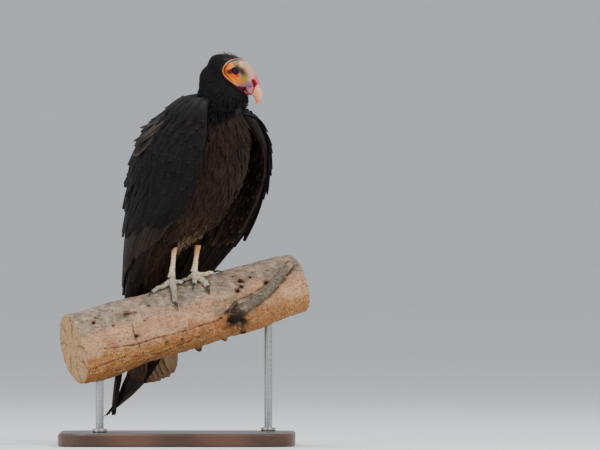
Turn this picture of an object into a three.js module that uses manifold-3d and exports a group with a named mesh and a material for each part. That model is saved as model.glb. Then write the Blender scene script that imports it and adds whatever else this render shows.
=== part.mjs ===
// A lesser yellow-headed vulture at rest on a short cut length of dead branch, on a plain display stand.
// Millimetres, +Z up. The origin is the centre of the stand's underside, on the floor.
import * as THREE from "three";
import { mergeVertices } from "three/addons/utils/BufferGeometryUtils.js";
import Module from "manifold-3d";

const wasm = await Module();
wasm.setup();

// ---------------------------------------------------------------- driving dimensions
const GAP = 0.35; // between neighbouring solids
const BODY_HEADING = 43; // degrees that the breast is turned from +X towards -Y
const HEAD_HEADING = 20; // the head looks over the left shoulder, so it is turned less
const HEAD_PITCH = 38; // the bill points this far down
const TAIL_TWIST = 12; // the tail is turned this much further than the body, to lie along the branch
const PERCH_TOP = new THREE.Vector3(8, 14, 220); // midway between the feet, on the crest of the branch
const PERCH_RADIUS = 45;
const PERCH_YAW = 22; // the branch runs away from the viewer to the right
const PERCH_RISE = 15.5; // and climbs
const PERCH_LEFT = -178;
const PERCH_RIGHT = 158;
const BASE_SIZE = { x: 320, y: 240, z: 18, corner: 34 };
const ROD_RADIUS = 5.5;
const ROD_AT = [-152, 104]; // places along the branch
const EYE_RADIUS = 6.2;
// An eye's centre in the head's frame.
const EYE_FORWARD = 1.2;
const EYE_ASIDE = 12.8;
const EYE_UP = -1;
const TARSUS_RADIUS = 3.7;

const rad = THREE.MathUtils.degToRad;
const vec = (x, y, z) => new THREE.Vector3(x, y, z);
const UP = vec(0, 0, 1);

// ---------------------------------------------------------------- frames
// A turned frame at a place: at(forward, left, up) is a point in it, and along() is a direction.
function frameAt(origin, heading, pitch = 0) {
  const turn = new THREE.Matrix4().makeRotationZ(-rad(heading));
  turn.multiply(new THREE.Matrix4().makeRotationY(rad(pitch)));
  const along = (f, l, u) => vec(f, l, u).applyMatrix4(turn);
  return { at: (f, l, u) => along(f, l, u).add(origin), along };
}

const bird = frameAt(PERCH_TOP, BODY_HEADING);
const tailFrame = frameAt(PERCH_TOP, BODY_HEADING + TAIL_TWIST);
const HEAD_CENTRE = PERCH_TOP.clone().add(vec(76.5, -66, 287));
const skull = frameAt(HEAD_CENTRE, HEAD_HEADING, HEAD_PITCH);

// The branch: a place along it, an angle round it from the crest to the front, and a height over the bark.
const PERCH_DIR = vec(
  Math.cos(rad(PERCH_YAW)) * Math.cos(rad(PERCH_RISE)),
  Math.sin(rad(PERCH_YAW)) * Math.cos(rad(PERCH_RISE)),
  Math.sin(rad(PERCH_RISE)),
);
const PERCH_UP = UP.clone().addScaledVector(PERCH_DIR, -PERCH_DIR.z).normalize();
const PERCH_FRONT = vec(0, 0, 0).crossVectors(PERCH_DIR, PERCH_UP);
const PERCH_AXIS = PERCH_TOP.clone().addScaledVector(PERCH_UP, -PERCH_RADIUS);

// Slow swellings of the bark, which fade to nothing under the feet.
function perchRadius(along, around) {
  const away = Math.min(1, Math.max(0, (Math.abs(along) - 45) / 60));
  const lumps = 2.4 * Math.sin(along / 31 + 2 * around) + 1.6 * Math.sin(along / 17 - around * 3);
  return PERCH_RADIUS - along * 0.012 + away * lumps;
}

function onPerch(along, degrees, height) {
  const around = rad(degrees);
  const out = perchRadius(along, around) + height;
  return PERCH_AXIS.clone()
    .addScaledVector(PERCH_DIR, along)
    .addScaledVector(PERCH_UP, out * Math.cos(around))
    .addScaledVector(PERCH_FRONT, out * Math.sin(around));
}

// ---------------------------------------------------------------- shaping
const smooth = (points) => new THREE.CatmullRomCurve3(points, false, "centripetal");

// Moves every vertex of a primitive by a function of its place.
function reshaped(geometry, place) {
  const spots = geometry.getAttribute("position");
  for (let i = 0; i < spots.count; i++) {
    const p = place(spots.getX(i), spots.getY(i), spots.getZ(i));
    spots.setXYZ(i, p.x, p.y, p.z);
  }
  return geometry;
}

// A closed body swept through stations. Each has a place, a half width along side and a half depth.
// A grown body is larger by that much all round, its ends included.
function loft(stations, side, around, rings, grown = 0) {
  const spine = smooth(stations.map((s) => s.at));
  const sizes = smooth(stations.map((s, i) => vec(s.wide, s.deep, i * 1e-3)));
  const drum = new THREE.CylinderGeometry(1, 1, 1, around, rings);
  return reshaped(drum, (x, y, z) => {
    const t = Math.min(1, Math.max(0, y + 0.5));
    const size = sizes.getPoint(t);
    const tangent = spine.getTangent(t);
    const front = side.clone().cross(tangent).normalize();
    const flat = tangent.clone().cross(front).normalize();
    return spine
      .getPoint(t)
      .addScaledVector(flat, x * (size.x + grown))
      .addScaledVector(front, -z * (size.y + grown))
      .addScaledVector(tangent, Math.abs(y) > 0.49 ? Math.sign(y) * grown : 0);
  });
}

// The same with every section level, and turned to its own heading: wide is its sideways reach and
// deep its reach fore and aft.
function stack(stations, around, rings, grown = 0) {
  const spine = smooth(stations.map((s) => s.at));
  const sizes = smooth(stations.map((s) => vec(s.wide, s.deep, s.heading ?? BODY_HEADING)));
  const drum = new THREE.CylinderGeometry(1, 1, 1, around, rings);
  return reshaped(drum, (x, y, z) => {
    const t = Math.min(1, Math.max(0, y + 0.5));
    const size = sizes.getPoint(t);
    const turned = frameAt(spine.getPoint(t), size.z);
    return turned.at(-z * (size.y + grown), x * (size.x + grown), 0);
  });
}

// A closed plate: across(u, v) gives the middle of the sheet and thick(u, v) its inner and outer depth.
function plate(columns, rows, surface) {
  const slab = new THREE.BoxGeometry(1, 1, 1, columns, rows, 1);
  return reshaped(slab, (x, y, z) => surface(x + 0.5, y + 0.5, z + 0.5));
}

// ---------------------------------------------------------------- solids for cutting and joining
function solid(geometry) {
  const bare = geometry.clone();
  for (const name of ["normal", "uv"]) bare.deleteAttribute(name);
  const merged = mergeVertices(bare, 1e-3);
  const mesh = new wasm.Mesh({
    numProp: 3,
    vertProperties: new Float32Array(merged.getAttribute("position").array),
    triVerts: new Uint32Array(merged.index.array),
  });
  const made = new wasm.Manifold(mesh);
  if (made.volume() > 0) return made;
  for (let i = 0; i < mesh.triVerts.length; i += 3) {
    [mesh.triVerts[i + 1], mesh.triVerts[i + 2]] = [mesh.triVerts[i + 2], mesh.triVerts[i + 1]];
  }
  return new wasm.Manifold(mesh);
}

function geometryOf(body) {
  const mesh = body.getMesh();
  const geometry = new THREE.BufferGeometry();
  geometry.setAttribute("position", new THREE.BufferAttribute(mesh.vertProperties, 3));
  geometry.setIndex(new THREE.BufferAttribute(mesh.triVerts, 1));
  geometry.computeVertexNormals();
  return geometry;
}

// The largest body left after a cut: thin slivers are dropped.
function largest(body) {
  return body.decompose().reduce((a, b) => (a.volume() > b.volume() ? a : b));
}

// A flat slab across a point, for parting one body into two with a thin cut.
function slab(centre, normal, size) {
  const box = new THREE.BoxGeometry(size, size, GAP);
  box.applyQuaternion(new THREE.Quaternion().setFromUnitVectors(UP, normal.clone().normalize()));
  box.translate(centre.x, centre.y, centre.z);
  return solid(box);
}

function partAt(body, centre, normal) {
  const pieces = body.subtract(slab(centre, normal, 400)).decompose();
  const height = (piece) => {
    const box = piece.boundingBox();
    const middle = vec(0, 1, 2).set(
      (box.min[0] + box.max[0]) / 2,
      (box.min[1] + box.max[1]) / 2,
      (box.min[2] + box.max[2]) / 2,
    );
    return middle.sub(centre).dot(normal);
  };
  const above = pieces.filter((piece) => height(piece) > 0);
  const below = pieces.filter((piece) => height(piece) <= 0);
  const most = (list) => list.reduce((a, b) => (a.volume() > b.volume() ? a : b));
  return { above: most(above), below: most(below) };
}

// ---------------------------------------------------------------- materials and nodes
const FINISH = {
  plumage: new THREE.MeshStandardMaterial({ color: 0x17161a, roughness: 0.6 }),
  breast: new THREE.MeshStandardMaterial({ color: 0x2a201c, roughness: 0.8 }),
  face: new THREE.MeshStandardMaterial({ color: 0xe0952a, roughness: 0.6 }),
  bill: new THREE.MeshStandardMaterial({ color: 0xe8b196, roughness: 0.35 }),
  eye: new THREE.MeshStandardMaterial({ color: 0x2a1018, roughness: 0.1 }),
  leg: new THREE.MeshStandardMaterial({ color: 0xcdbfae, roughness: 0.8 }),
  claw: new THREE.MeshStandardMaterial({ color: 0x3a332e, roughness: 0.4 }),
  wood: new THREE.MeshStandardMaterial({ color: 0xa08468, roughness: 0.95 }),
  base: new THREE.MeshStandardMaterial({ color: 0x3b2a20, roughness: 0.4 }),
  steel: new THREE.MeshStandardMaterial({ color: 0x8a8a88, roughness: 0.3, metalness: 1 }),
};

const model = new THREE.Group();

function node(name, body, finish) {
  const small = ["eye", "bill", "claw", "leg"].includes(finish);
  const simple = body.asOriginal().simplify(small ? 0.04 : 0.1);
  const mesh = new THREE.Mesh(geometryOf(simple), FINISH[finish]);
  mesh.name = name;
  model.add(mesh);
}

// ---------------------------------------------------------------- perch and stand
function branch(grown = 0) {
  const length = PERCH_RIGHT - PERCH_LEFT + 2 * grown;
  const drum = new THREE.CylinderGeometry(1, 1, 1, 22, 15);
  const log = solid(
    reshaped(drum, (x, y, z) => {
      const along = PERCH_LEFT - grown + (y + 0.5) * length;
      const around = Math.atan2(z, x);
      const flat = Math.hypot(x, z);
      const out = (perchRadius(along, around) + grown) * flat;
      return PERCH_AXIS.clone()
        .addScaledVector(PERCH_DIR, along)
        .addScaledVector(PERCH_UP, out * Math.cos(around))
        .addScaledVector(PERCH_FRONT, out * Math.sin(around));
    }),
  );
  const stub = loft(
    [
      { at: onPerch(46, 106, -9), wide: 13 + grown, deep: 9 + grown },
      { at: onPerch(57, 98, 0), wide: 10 + grown, deep: 8 + grown },
      { at: onPerch(71, 93, 3.5), wide: 8 + grown, deep: 7.4 + grown },
      { at: onPerch(88, 86, 5), wide: 7.2 + grown, deep: 7 + grown },
      { at: onPerch(106, 76, 5.5), wide: 6.8 + grown, deep: 6.6 + grown },
      { at: onPerch(124, 63, 6.5), wide: 6.5 + grown, deep: 6.4 + grown },
      { at: onPerch(143, 50, 8.5), wide: 6.2 + grown, deep: 6.2 + grown },
    ],
    PERCH_FRONT,
    12,
    9,
  );
  return log.add(solid(stub));
}

function base() {
  const { x, y, z, corner } = BASE_SIZE;
  const bevel = 2.5;
  const [w, d, r] = [x / 2 - bevel, y / 2 - bevel, corner];
  const outline = new THREE.Shape();
  outline.moveTo(-w + r, -d);
  outline.lineTo(w - r, -d);
  outline.absarc(w - r, -d + r, r, -Math.PI / 2, 0);
  outline.lineTo(w, d - r);
  outline.absarc(w - r, d - r, r, 0, Math.PI / 2);
  outline.lineTo(-w + r, d);
  outline.absarc(-w + r, d - r, r, Math.PI / 2, Math.PI);
  outline.lineTo(-w, -d + r);
  outline.absarc(-w + r, -d + r, r, Math.PI, 1.5 * Math.PI);
  const block = new THREE.ExtrudeGeometry(outline, {
    depth: z - 2 * bevel,
    bevelSize: bevel,
    bevelThickness: bevel,
    bevelSegments: 1,
    curveSegments: 4,
  });
  return solid(block.translate(0, 0, bevel));
}

function rod(along) {
  const foot = onPerch(along, 180, 0);
  const from = BASE_SIZE.z + GAP;
  const to = PERCH_AXIS.z + PERCH_DIR.z * along;
  const post = new THREE.CylinderGeometry(ROD_RADIUS, ROD_RADIUS, to - from, 20);
  post.rotateX(Math.PI / 2).translate(foot.x, foot.y, (from + to) / 2);
  return solid(post);
}

// ---------------------------------------------------------------- trunk, neck and thighs
const LEFT = bird.along(0, 1, 0);
const spot = (f, l, u, wide, deep) => ({ at: bird.at(f, l, u), wide, deep });

function trunk(grown) {
  return solid(
    stack(
      [
        spot(-64, 0, -8, 14, 5),
        spot(-57, 0, 12, 27, 17),
        spot(-44, 0, 35, 36, 25),
        spot(-30, 0, 60, 43, 38),
        spot(-10, 0, 84, 51, 56),
        spot(10, 0, 116, 60, 70),
        spot(22, 0, 150, 63, 78),
        spot(30, 0, 184, 62, 77),
        spot(41, 0, 216, 55, 62),
        spot(51, 0, 238, 45, 47),
        spot(58, 0, 252, 37, 38),
      ],
      24,
      15,
      grown,
    ),
  );
}

function neck(grown) {
  const ring = (f, l, u, wide, deep, heading) => ({ at: bird.at(f, l, u), wide, deep, heading });
  return solid(
    stack(
      [
        ring(56, 0, 234, 43.5, 47, 43),
        ring(73, 0, 250, 35, 39.5, 42),
        ring(74, 0, 262, 33, 36.5, 37),
        ring(75, 1, 274, 30, 35.5, 29),
        ring(72, 2, 286, 24.5, 30, 20),
        ring(76, 3, 297, 17, 21, 20),
        ring(84, 4, 304, 8, 9, 20),
      ],
      22,
      9,
      grown,
    ),
  );
}

// A feathered shank: from inside the belly down to the heel.
function thigh(heel, side, grown) {
  return solid(
    loft(
      [
        { at: bird.at(16, side * 30, 112), wide: 25, deep: 36 },
        { at: bird.at(4, side * 27, 82), wide: 21, deep: 27 },
        { at: heel.clone().add(vec(0, 0, 12)), wide: 11, deep: 12 },
        { at: heel.clone().add(vec(0, 0, -2)), wide: 4.6, deep: 4.8 },
      ],
      LEFT,
      14,
      6,
      grown,
    ),
  );
}

// ---------------------------------------------------------------- head
const skullSpot = (f, top, bottom, wide) => ({
  at: skull.at(f, 0, (top + bottom) / 2),
  wide,
  deep: (top - bottom) / 2,
});
const SKULL_LEFT = skull.along(0, 1, 0);

function head(grown) {
  const cranium = loft(
    [
      skullSpot(-40, -12, -25, 7),
      skullSpot(-38, -7.5, -28, 13),
      skullSpot(-33, -1.5, -29, 17.5),
      skullSpot(-24, 5.2, -29, 20.5),
      skullSpot(-13, 11.3, -27, 21),
      skullSpot(-4, 14.3, -24.5, 19.5),
      skullSpot(4, 15.2, -22, 17.5),
      skullSpot(12, 13.3, -19, 14.5),
      skullSpot(19, 10.6, -16.8, 11.3),
      skullSpot(26, 6.6, -15.5, 8.6),
      skullSpot(36, 0.8, -14.8, 6.4),
    ],
    SKULL_LEFT,
    22,
    17,
    grown,
  );
  return solid(cranium);
}

// The nostril goes right through from side to side, as it does in this family.
function nostril() {
  const slot = new THREE.CapsuleGeometry(1.7, 6.5, 3, 8);
  slot.scale(1, 1, 8);
  return solid(
    reshaped(slot, (x, y, z) => {
      const lean = rad(-31);
      return skull.at(
        28.6 + y * Math.cos(lean) - x * Math.sin(lean),
        z,
        -0.9 + y * Math.sin(lean) + x * Math.cos(lean),
      );
    }),
  );
}

function upperBill(grown) {
  const horn = (f, u, wide, deep) => ({ at: skull.at(f, 0, u), wide, deep });
  return solid(
    loft(
      [
        horn(30, -5.4, 7.4, 8.6),
        horn(35, -6.9, 6.5, 8),
        horn(39.2, -8.2, 5.8, 6.9),
        horn(42.3, -10.5, 5.2, 6.2),
        horn(44.6, -13.3, 4.2, 5),
        horn(46.1, -16.2, 3.1, 3.5),
        horn(46.8, -19.4, 1.8, 2.1),
        horn(46.5, -22.7, 0.5, 0.5),
      ],
      SKULL_LEFT,
      14,
      11,
      grown,
    ),
  );
}

function lowerBill() {
  return solid(
    loft(
      [
        skullSpot(24, -13.8, -18.8, 6),
        skullSpot(32, -13.6, -18.6, 5),
        skullSpot(39.5, -14.2, -17.8, 3.2),
        skullSpot(42, -14.8, -17.2, 2),
      ],
      SKULL_LEFT,
      12,
      4,
    ),
  );
}

function eye(side, grown = 0) {
  const ball = new THREE.SphereGeometry(EYE_RADIUS + grown, 14, 8);
  const at = skull.at(EYE_FORWARD, side * EYE_ASIDE, EYE_UP);
  return solid(ball.translate(at.x, at.y, at.z));
}

// ---------------------------------------------------------------- wings and tail
// A folded wing is a sheet: down it from wrist to tip, and across it from the leading edge to the back.
// Each station is [forward, aside, up] in the bird's frame.
const WINGS = {
  right: {
    side: -1,
    leading: [
      [92, 50, 238],
      [102, 65, 186],
      [78, 68, 116],
      [8, 51, 55],
      [-62, 21, -18],
      [-112, 11, -120],
      [-134, 5, -188],
    ],
    crown: [
      [46, 76, 252],
      [22, 126, 190],
      [4, 126, 124],
      [-36, 100, 58],
      [-78, 56, -18],
      [-116, 22, -112],
      [-135, 9, -176],
    ],
    trailing: [
      [22, 22, 252],
      [-54, 18, 196],
      [-88, 15, 122],
      [-97, 13, 56],
      [-103, 11, -18],
      [-124, 7, -116],
      [-138, 3, -184],
    ],
  },
  left: {
    side: 1,
    leading: [
      [87, 56, 227],
      [98, 68, 186],
      [82, 74, 116],
      [48, 70, 55],
      [-22, 61, -18],
      [-78, 24, -130],
      [-144, 5, -186],
    ],
    crown: [
      [46, 84, 240],
      [22, 130, 186],
      [6, 128, 120],
      [-14, 112, 58],
      [-52, 88, -18],
      [-96, 40, -104],
      [-145, 8, -180],
    ],
    trailing: [
      [22, 22, 248],
      [-54, 18, 194],
      [-88, 15, 122],
      [-97, 13, 56],
      [-103, 11, -18],
      [-122, 7, -96],
      [-147, 3, -184],
    ],
  },
};

for (const wing of Object.values(WINGS)) {
  const curve = (rows) => smooth(rows.map(([f, l, u]) => bird.at(f, wing.side * l, u)));
  wing.curves = [curve(wing.leading), curve(wing.crown), curve(wing.trailing)];
}

function wingMiddle(wing, s, t) {
  const [lead, crown, trail] = wing.curves.map((c) => c.getPoint(Math.min(1, Math.max(0, s))));
  return lead
    .multiplyScalar((1 - t) ** 2)
    .addScaledVector(crown, 2 * t * (1 - t))
    .addScaledVector(trail, t * t);
}

function wingPoint(wing, s, t, depth) {
  const step = 0.01;
  const here = wingMiddle(wing, s, t);
  const down = wingMiddle(wing, s + step, t).sub(wingMiddle(wing, s - step, t));
  const across = wingMiddle(wing, s, t + step).sub(wingMiddle(wing, s, t - step));
  const out = down.cross(across).normalize().multiplyScalar(wing.side);
  return here.addScaledVector(out, -depth);
}

// A layer of the wing. It reaches back from front to the trailing edge and down from from to to; its edge is
// stepped by the tips of its feathers.
function wingLayer(wing, layer) {
  return solid(
    plate(layer.columns, layer.rows, (u, v, w) => {
      const t = layer.front + (1 - layer.front) * u;
      const tips = layer.tip * Math.abs(Math.sin(Math.PI * layer.feathers * u));
      const s = layer.from + (layer.to(t) + tips - layer.from) * v;
      const depth = w > 0.5 ? layer.outer : layer.inner(s);
      return wingPoint(wing, s, t, depth);
    }),
  );
}

const LAYERS = {
  coverts: {
    columns: 16,
    rows: 9,
    feathers: 8,
    tip: 0.02,
    from: 0,
    to: (t) => 0.36 + 0.06 * t,
    front: 0,
    outer: 0,
    inner: (s) => 3 + 20 * Math.max(0, 1 - s / 0.26),
  },
  secondaries: {
    columns: 14,
    rows: 6,
    feathers: 7,
    tip: 0.025,
    from: 0.29,
    to: (t) => 0.52 + 0.16 * t,
    front: 0.125,
    outer: 4.4,
    inner: () => 7.2,
  },
  primaries: {
    columns: 8,
    rows: 12,
    feathers: 4,
    tip: 0,
    from: 0.3,
    to: () => 1,
    front: 0,
    outer: 9,
    inner: (s) => 12 - 1.2 * s,
  },
};

const TAIL = {
  rows: [
    // forward, up and half width
    [-66, 32, 20],
    [-80, -10, 30],
    [-85, -60, 37],
    [-81, -105, 41],
    [-78, -138, 43.5],
  ],
  thick: 3.4,
  feathers: 12,
};

function tail(grown = 0) {
  const spine = smooth(TAIL.rows.map(([f, u]) => tailFrame.at(f, 0, u)));
  const widths = smooth(TAIL.rows.map(([, , wide], i) => vec(wide, i, 0)));
  const side = tailFrame.along(0, 1, 0);
  return solid(
    plate(16, 7, (u, v, w) => {
      const across = 2 * u - 1;
      const tips = 0.018 * Math.abs(Math.sin((Math.PI * TAIL.feathers * u) / 1.5));
      const t = Math.min(1, v * (1 - 0.1 * across * across - 0.018 + tips));
      const out = side.clone().cross(spine.getTangent(t)).normalize();
      const arch = 7 * (1 - across * across);
      return spine
        .getPoint(t)
        .addScaledVector(side, across * (widths.getPoint(t).x + grown))
        .addScaledVector(out, arch + (w - 0.5) * (TAIL.thick + 2 * grown));
    }),
  );
}

// ---------------------------------------------------------------- legs, feet and claws
// A toe goes from its root to its last joint, each [place along the branch, degrees round it], then the claw.
const FEET = {
  right: {
    palm: [-17, 2],
    heel: vec(-11, 3, 57),
    toes: [
      { name: "inner", path: [[-9, 7], [-5.5, 15]], claw: [-3, 27], thick: 3.4 },
      { name: "middle", path: [[-24, 28], [-34, 56]], claw: [-33.5, 71], thick: 3.9 },
      { name: "outer", path: [[-32, 5], [-52, 16]], claw: [-60, 24], thick: 3.4 },
      { name: "hind", path: [[-21, -14], [-25, -32]], claw: [-26, -46], thick: 2.9 },
    ],
  },
  left: {
    palm: [17, 2],
    heel: vec(20, 14, 53),
    toes: [
      { name: "inner", path: [[13, 14], [7, 28]], claw: [0, 40], thick: 3.4 },
      { name: "middle", path: [[19, 23], [20, 44]], claw: [17, 60], thick: 4.2 },
      { name: "outer", path: [[33, 5], [44, 5]], claw: [56, 12], thick: 3.4 },
      { name: "hind", path: [[9, -7], [2, -18]], claw: [-3, -29], thick: 2.9 },
    ],
  },
};

function toe(foot, { path, thick }, grown) {
  const [root, last] = path;
  const ball = [(root[0] + last[0]) / 2, (root[1] + last[1]) / 2];
  const places = [
    { at: onPerch(...foot.palm, 6.5), wide: thick + 1.2, deep: thick + 0.8 },
    { at: onPerch(...root, thick - 0.4), wide: thick, deep: thick },
    { at: onPerch(...ball, thick + 0.4), wide: thick * 0.9, deep: thick },
    { at: onPerch(...last, thick - 1.2), wide: thick * 0.72, deep: thick * 0.8 },
  ];
  return solid(loft(places, PERCH_DIR.clone().cross(PERCH_FRONT), 9, 5, grown));
}

function claw({ path, claw: tip, thick }) {
  const last = path[1];
  const part = (k, height, size) => ({
    at: onPerch(last[0] + (tip[0] - last[0]) * k, last[1] + (tip[1] - last[1]) * k, height),
    wide: size * 0.8,
    deep: size,
  });
  const horn = [
    part(-0.15, thick - 1.1, thick * 0.62),
    part(0.25, thick + 0.3, thick * 0.6),
    part(0.65, thick - 0.6, thick * 0.42),
    part(1, 0.9, 0.5),
  ];
  return solid(loft(horn, PERCH_DIR.clone().cross(PERCH_FRONT), 7, 5));
}

function tarsus(foot) {
  const top = PERCH_TOP.clone().add(foot.heel);
  const sole = onPerch(...foot.palm, 7);
  const part = (k, wide, deep) => ({ at: sole.clone().lerp(top, k), wide, deep });
  return solid(
    loft(
      [part(0.08, 5.4, 5.8), part(0.25, 3.9, 4.4), part(0.6, TARSUS_RADIUS, 4), part(1, 4.4, 4.8)],
      LEFT,
      12,
      8,
    ),
  );
}

// ---------------------------------------------------------------- assembly
// Each neighbour is cut away from a body with a slightly grown copy of it, which leaves a thin gap.
const log = branch();
const aroundLog = branch(GAP);
const eyes = { right: eye(-1), left: eye(1) };
const aroundEyes = eye(-1, GAP).add(eye(1, GAP));
const fleshWith = (grown) => trunk(grown).add(neck(grown)).add(head(grown));
const flesh = fleshWith(0).subtract(nostril()).subtract(aroundEyes);
const aroundFlesh = fleshWith(GAP);

// The flesh is one body, parted with thin cuts at the base of the neck, below the face and at the bill.
const neckCut = bird.at(60, 0, 243);
const hoodCut = skull.at(-10, 0, -19.5);
const billCut = skull.at(34.5, 0, -7);
const forward = skull.along(1, 0, 0.25);
const belowNeck = partAt(flesh, neckCut, bird.along(0.35, 0, 1));
const aboveNeck = partAt(belowNeck.above, hoodCut, skull.along(0, 0, 1));
const hornOnly = (grown) => partAt(upperBill(grown), billCut, forward).above.subtract(nostril());

node("trunk", largest(belowNeck.below.subtract(aroundLog)), "breast");
node("neck", aboveNeck.below, "plumage");
node("head", partAt(aboveNeck.above, billCut, forward).below, "face");
node("bill_upper", hornOnly(0), "bill");
node("bill_lower", largest(lowerBill().subtract(aroundFlesh).subtract(hornOnly(GAP))), "bill");
node("eye_right", eyes.right, "eye");
node("eye_left", eyes.left, "eye");

for (const [name, foot] of Object.entries(FEET)) {
  const side = name === "left" ? 1 : -1;
  const heel = PERCH_TOP.clone().add(foot.heel);
  const heelCut = slab(heel, UP, 40);
  const soleCut = slab(onPerch(...foot.palm, 14), PERCH_UP, 80);
  const toes = (grown) => foot.toes.map((t) => toe(foot, t, grown)).reduce((a, b) => a.add(b));
  const aroundToes = toes(GAP);
  const shank = tarsus(foot).subtract(aroundToes).subtract(heelCut);
  node(`foot_${name}`, largest(toes(0).subtract(aroundLog).subtract(soleCut)), "leg");
  node(`shank_${name}`, largest(shank.subtract(thigh(heel, side, GAP)).subtract(aroundFlesh)), "leg");
  node(`thigh_${name}`, largest(thigh(heel, side, 0).subtract(aroundFlesh).subtract(heelCut)), "breast");
  for (const t of foot.toes) {
    node(`claw_${name}_${t.name}`, largest(claw(t).subtract(aroundLog).subtract(aroundToes)), "claw");
  }
}

const aroundTail = tail(GAP);
node("tail", largest(tail().subtract(aroundFlesh).subtract(aroundLog)), "plumage");
for (const [name, wing] of Object.entries(WINGS)) {
  for (const [layerName, layer] of Object.entries(LAYERS)) {
    const sheet = wingLayer(wing, layer).subtract(aroundFlesh).subtract(aroundLog).subtract(aroundTail);
    node(`wing_${name}_${layerName}`, largest(sheet), "plumage");
  }
}

node("perch", log, "wood");
node("stand_base", base(), "base");
ROD_AT.forEach((along, i) => {
  node(`stand_rod_${i + 1}`, largest(rod(along).subtract(aroundLog)), "steel");
});

export default model;
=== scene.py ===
import math

import bpy
import numpy as np
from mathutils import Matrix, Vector, noise
from mathutils.bvhtree import BVHTree


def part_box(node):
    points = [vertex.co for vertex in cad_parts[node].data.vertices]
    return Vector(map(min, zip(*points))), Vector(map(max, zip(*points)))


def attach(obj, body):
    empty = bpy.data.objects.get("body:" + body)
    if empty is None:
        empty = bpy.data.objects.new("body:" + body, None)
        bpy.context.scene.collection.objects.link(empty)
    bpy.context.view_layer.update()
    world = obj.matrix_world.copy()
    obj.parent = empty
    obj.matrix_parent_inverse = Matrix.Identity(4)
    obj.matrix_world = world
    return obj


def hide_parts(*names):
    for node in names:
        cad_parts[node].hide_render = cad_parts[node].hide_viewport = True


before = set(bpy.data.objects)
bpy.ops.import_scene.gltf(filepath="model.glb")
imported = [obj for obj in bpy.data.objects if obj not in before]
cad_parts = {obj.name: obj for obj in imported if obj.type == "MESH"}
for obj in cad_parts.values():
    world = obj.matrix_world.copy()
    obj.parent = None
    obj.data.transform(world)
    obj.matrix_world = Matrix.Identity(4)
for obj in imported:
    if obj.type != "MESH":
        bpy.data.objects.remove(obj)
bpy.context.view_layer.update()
chance = np.random.default_rng(7)

# ------------------------------------------------------------------ places, in millimetres
MM = 0.001
PERCH_TOP = (8, 14, 220)
BODY_HEADING = 43
TAIL_TWIST = 12
HEAD_CENTRE = (84.5, -52, 507)
HEAD_HEADING = 20
HEAD_PITCH = 38
PERCH_RADIUS = 45
PERCH_YAW = 22
PERCH_RISE = 15.5
EYE_FORWARD = 1.2
EYE_ASIDE = 12.8
EYE_UP = -1
EYE_RADIUS = 6.2
COAT_DEPTH = 5
BASE_TOP = 18
SIDES = {"right": -1, "left": 1}


class Place:
    """A turned frame: at() gives points from forward, left and up, and back() gives those of a point."""

    def __init__(self, origin, heading, pitch=0):
        h, p = math.radians(heading), math.radians(pitch)
        spin = np.array([[math.cos(h), math.sin(h), 0], [-math.sin(h), math.cos(h), 0], [0, 0, 1]])
        nod = np.array([[math.cos(p), 0, math.sin(p)], [0, 1, 0], [-math.sin(p), 0, math.cos(p)]])
        self.origin = np.array(origin, float)
        self.axes = spin @ nod

    def at(self, forward, left, up):
        return np.stack(np.broadcast_arrays(forward, left, up), -1) @ self.axes.T + self.origin

    def along(self, forward, left, up):
        return np.array([forward, left, up], float) @ self.axes.T

    def back(self, points):
        return (np.asarray(points) - self.origin) @ self.axes


bird = Place(PERCH_TOP, BODY_HEADING)
rump = Place(PERCH_TOP, BODY_HEADING + TAIL_TWIST)
skull = Place(HEAD_CENTRE, HEAD_HEADING, HEAD_PITCH)


def unit(v):
    return v / np.maximum(np.linalg.norm(v, axis=-1, keepdims=True), 1e-9)


def smooth(low, high, x):
    k = np.clip((x - low) / (high - low), 0, 1)
    return k * k * (3 - 2 * k)


def bump(x, width):
    return np.exp(-((x / width) ** 2))


def spline(points):
    """A smooth curve through the points, asked for at places from 0 to 1."""
    p = np.asarray(points, float)
    p = np.vstack([2 * p[0] - p[1], p, 2 * p[-1] - p[-2]])
    gaps = np.sqrt(np.linalg.norm(np.diff(p, axis=0), axis=1))
    last = len(points) - 1

    def at(t):
        k = np.clip(np.asarray(t, float) * last, 0, last - 1e-9)
        i = k.astype(int)
        w = (k - i)[..., None]
        a, b, c, d = (p[i + j] for j in range(4))
        g0, g1, g2 = (gaps[i + j][..., None] for j in range(3))
        m1 = ((b - a) / g0 - (c - a) / (g0 + g1) + (c - b) / g1) * g1
        m2 = ((c - b) / g1 - (d - b) / (g1 + g2) + (d - c) / g2) * g1
        return b + m1 * w + (3 * c - 3 * b - 2 * m1 - m2) * w**2 + (2 * b - 2 * c + m1 + m2) * w**3

    return at


# ------------------------------------------------------------------ camera, light and floor
CAMERA_PLACE = (0.166, -14, 0.298)
TO_BIRD = 13.975  # metres from the camera to the bird
FIELD = 0.81  # metres across the picture at the bird
SENSOR = 36
FLOOR_STEPS = 12


def add_camera():
    bpy.ops.object.camera_add(location=CAMERA_PLACE, rotation=(math.pi / 2, 0, 0))
    camera = bpy.context.object
    camera.data.sensor_width = SENSOR
    camera.data.lens = SENSOR * TO_BIRD / FIELD
    camera.data.clip_end = 200
    bpy.context.scene.camera = camera


def add_lamp(name, place, aim, size, watts, colour):
    bpy.ops.object.light_add(type="AREA", location=place)
    lamp = bpy.context.object
    lamp.name = name
    lamp.rotation_euler = (Vector(aim) - Vector(place)).to_track_quat("-Z", "Y").to_euler()
    lamp.data.size = size
    lamp.data.energy = watts
    lamp.data.color = colour


def deselect():
    bpy.ops.object.select_all(action="DESELECT")


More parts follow.
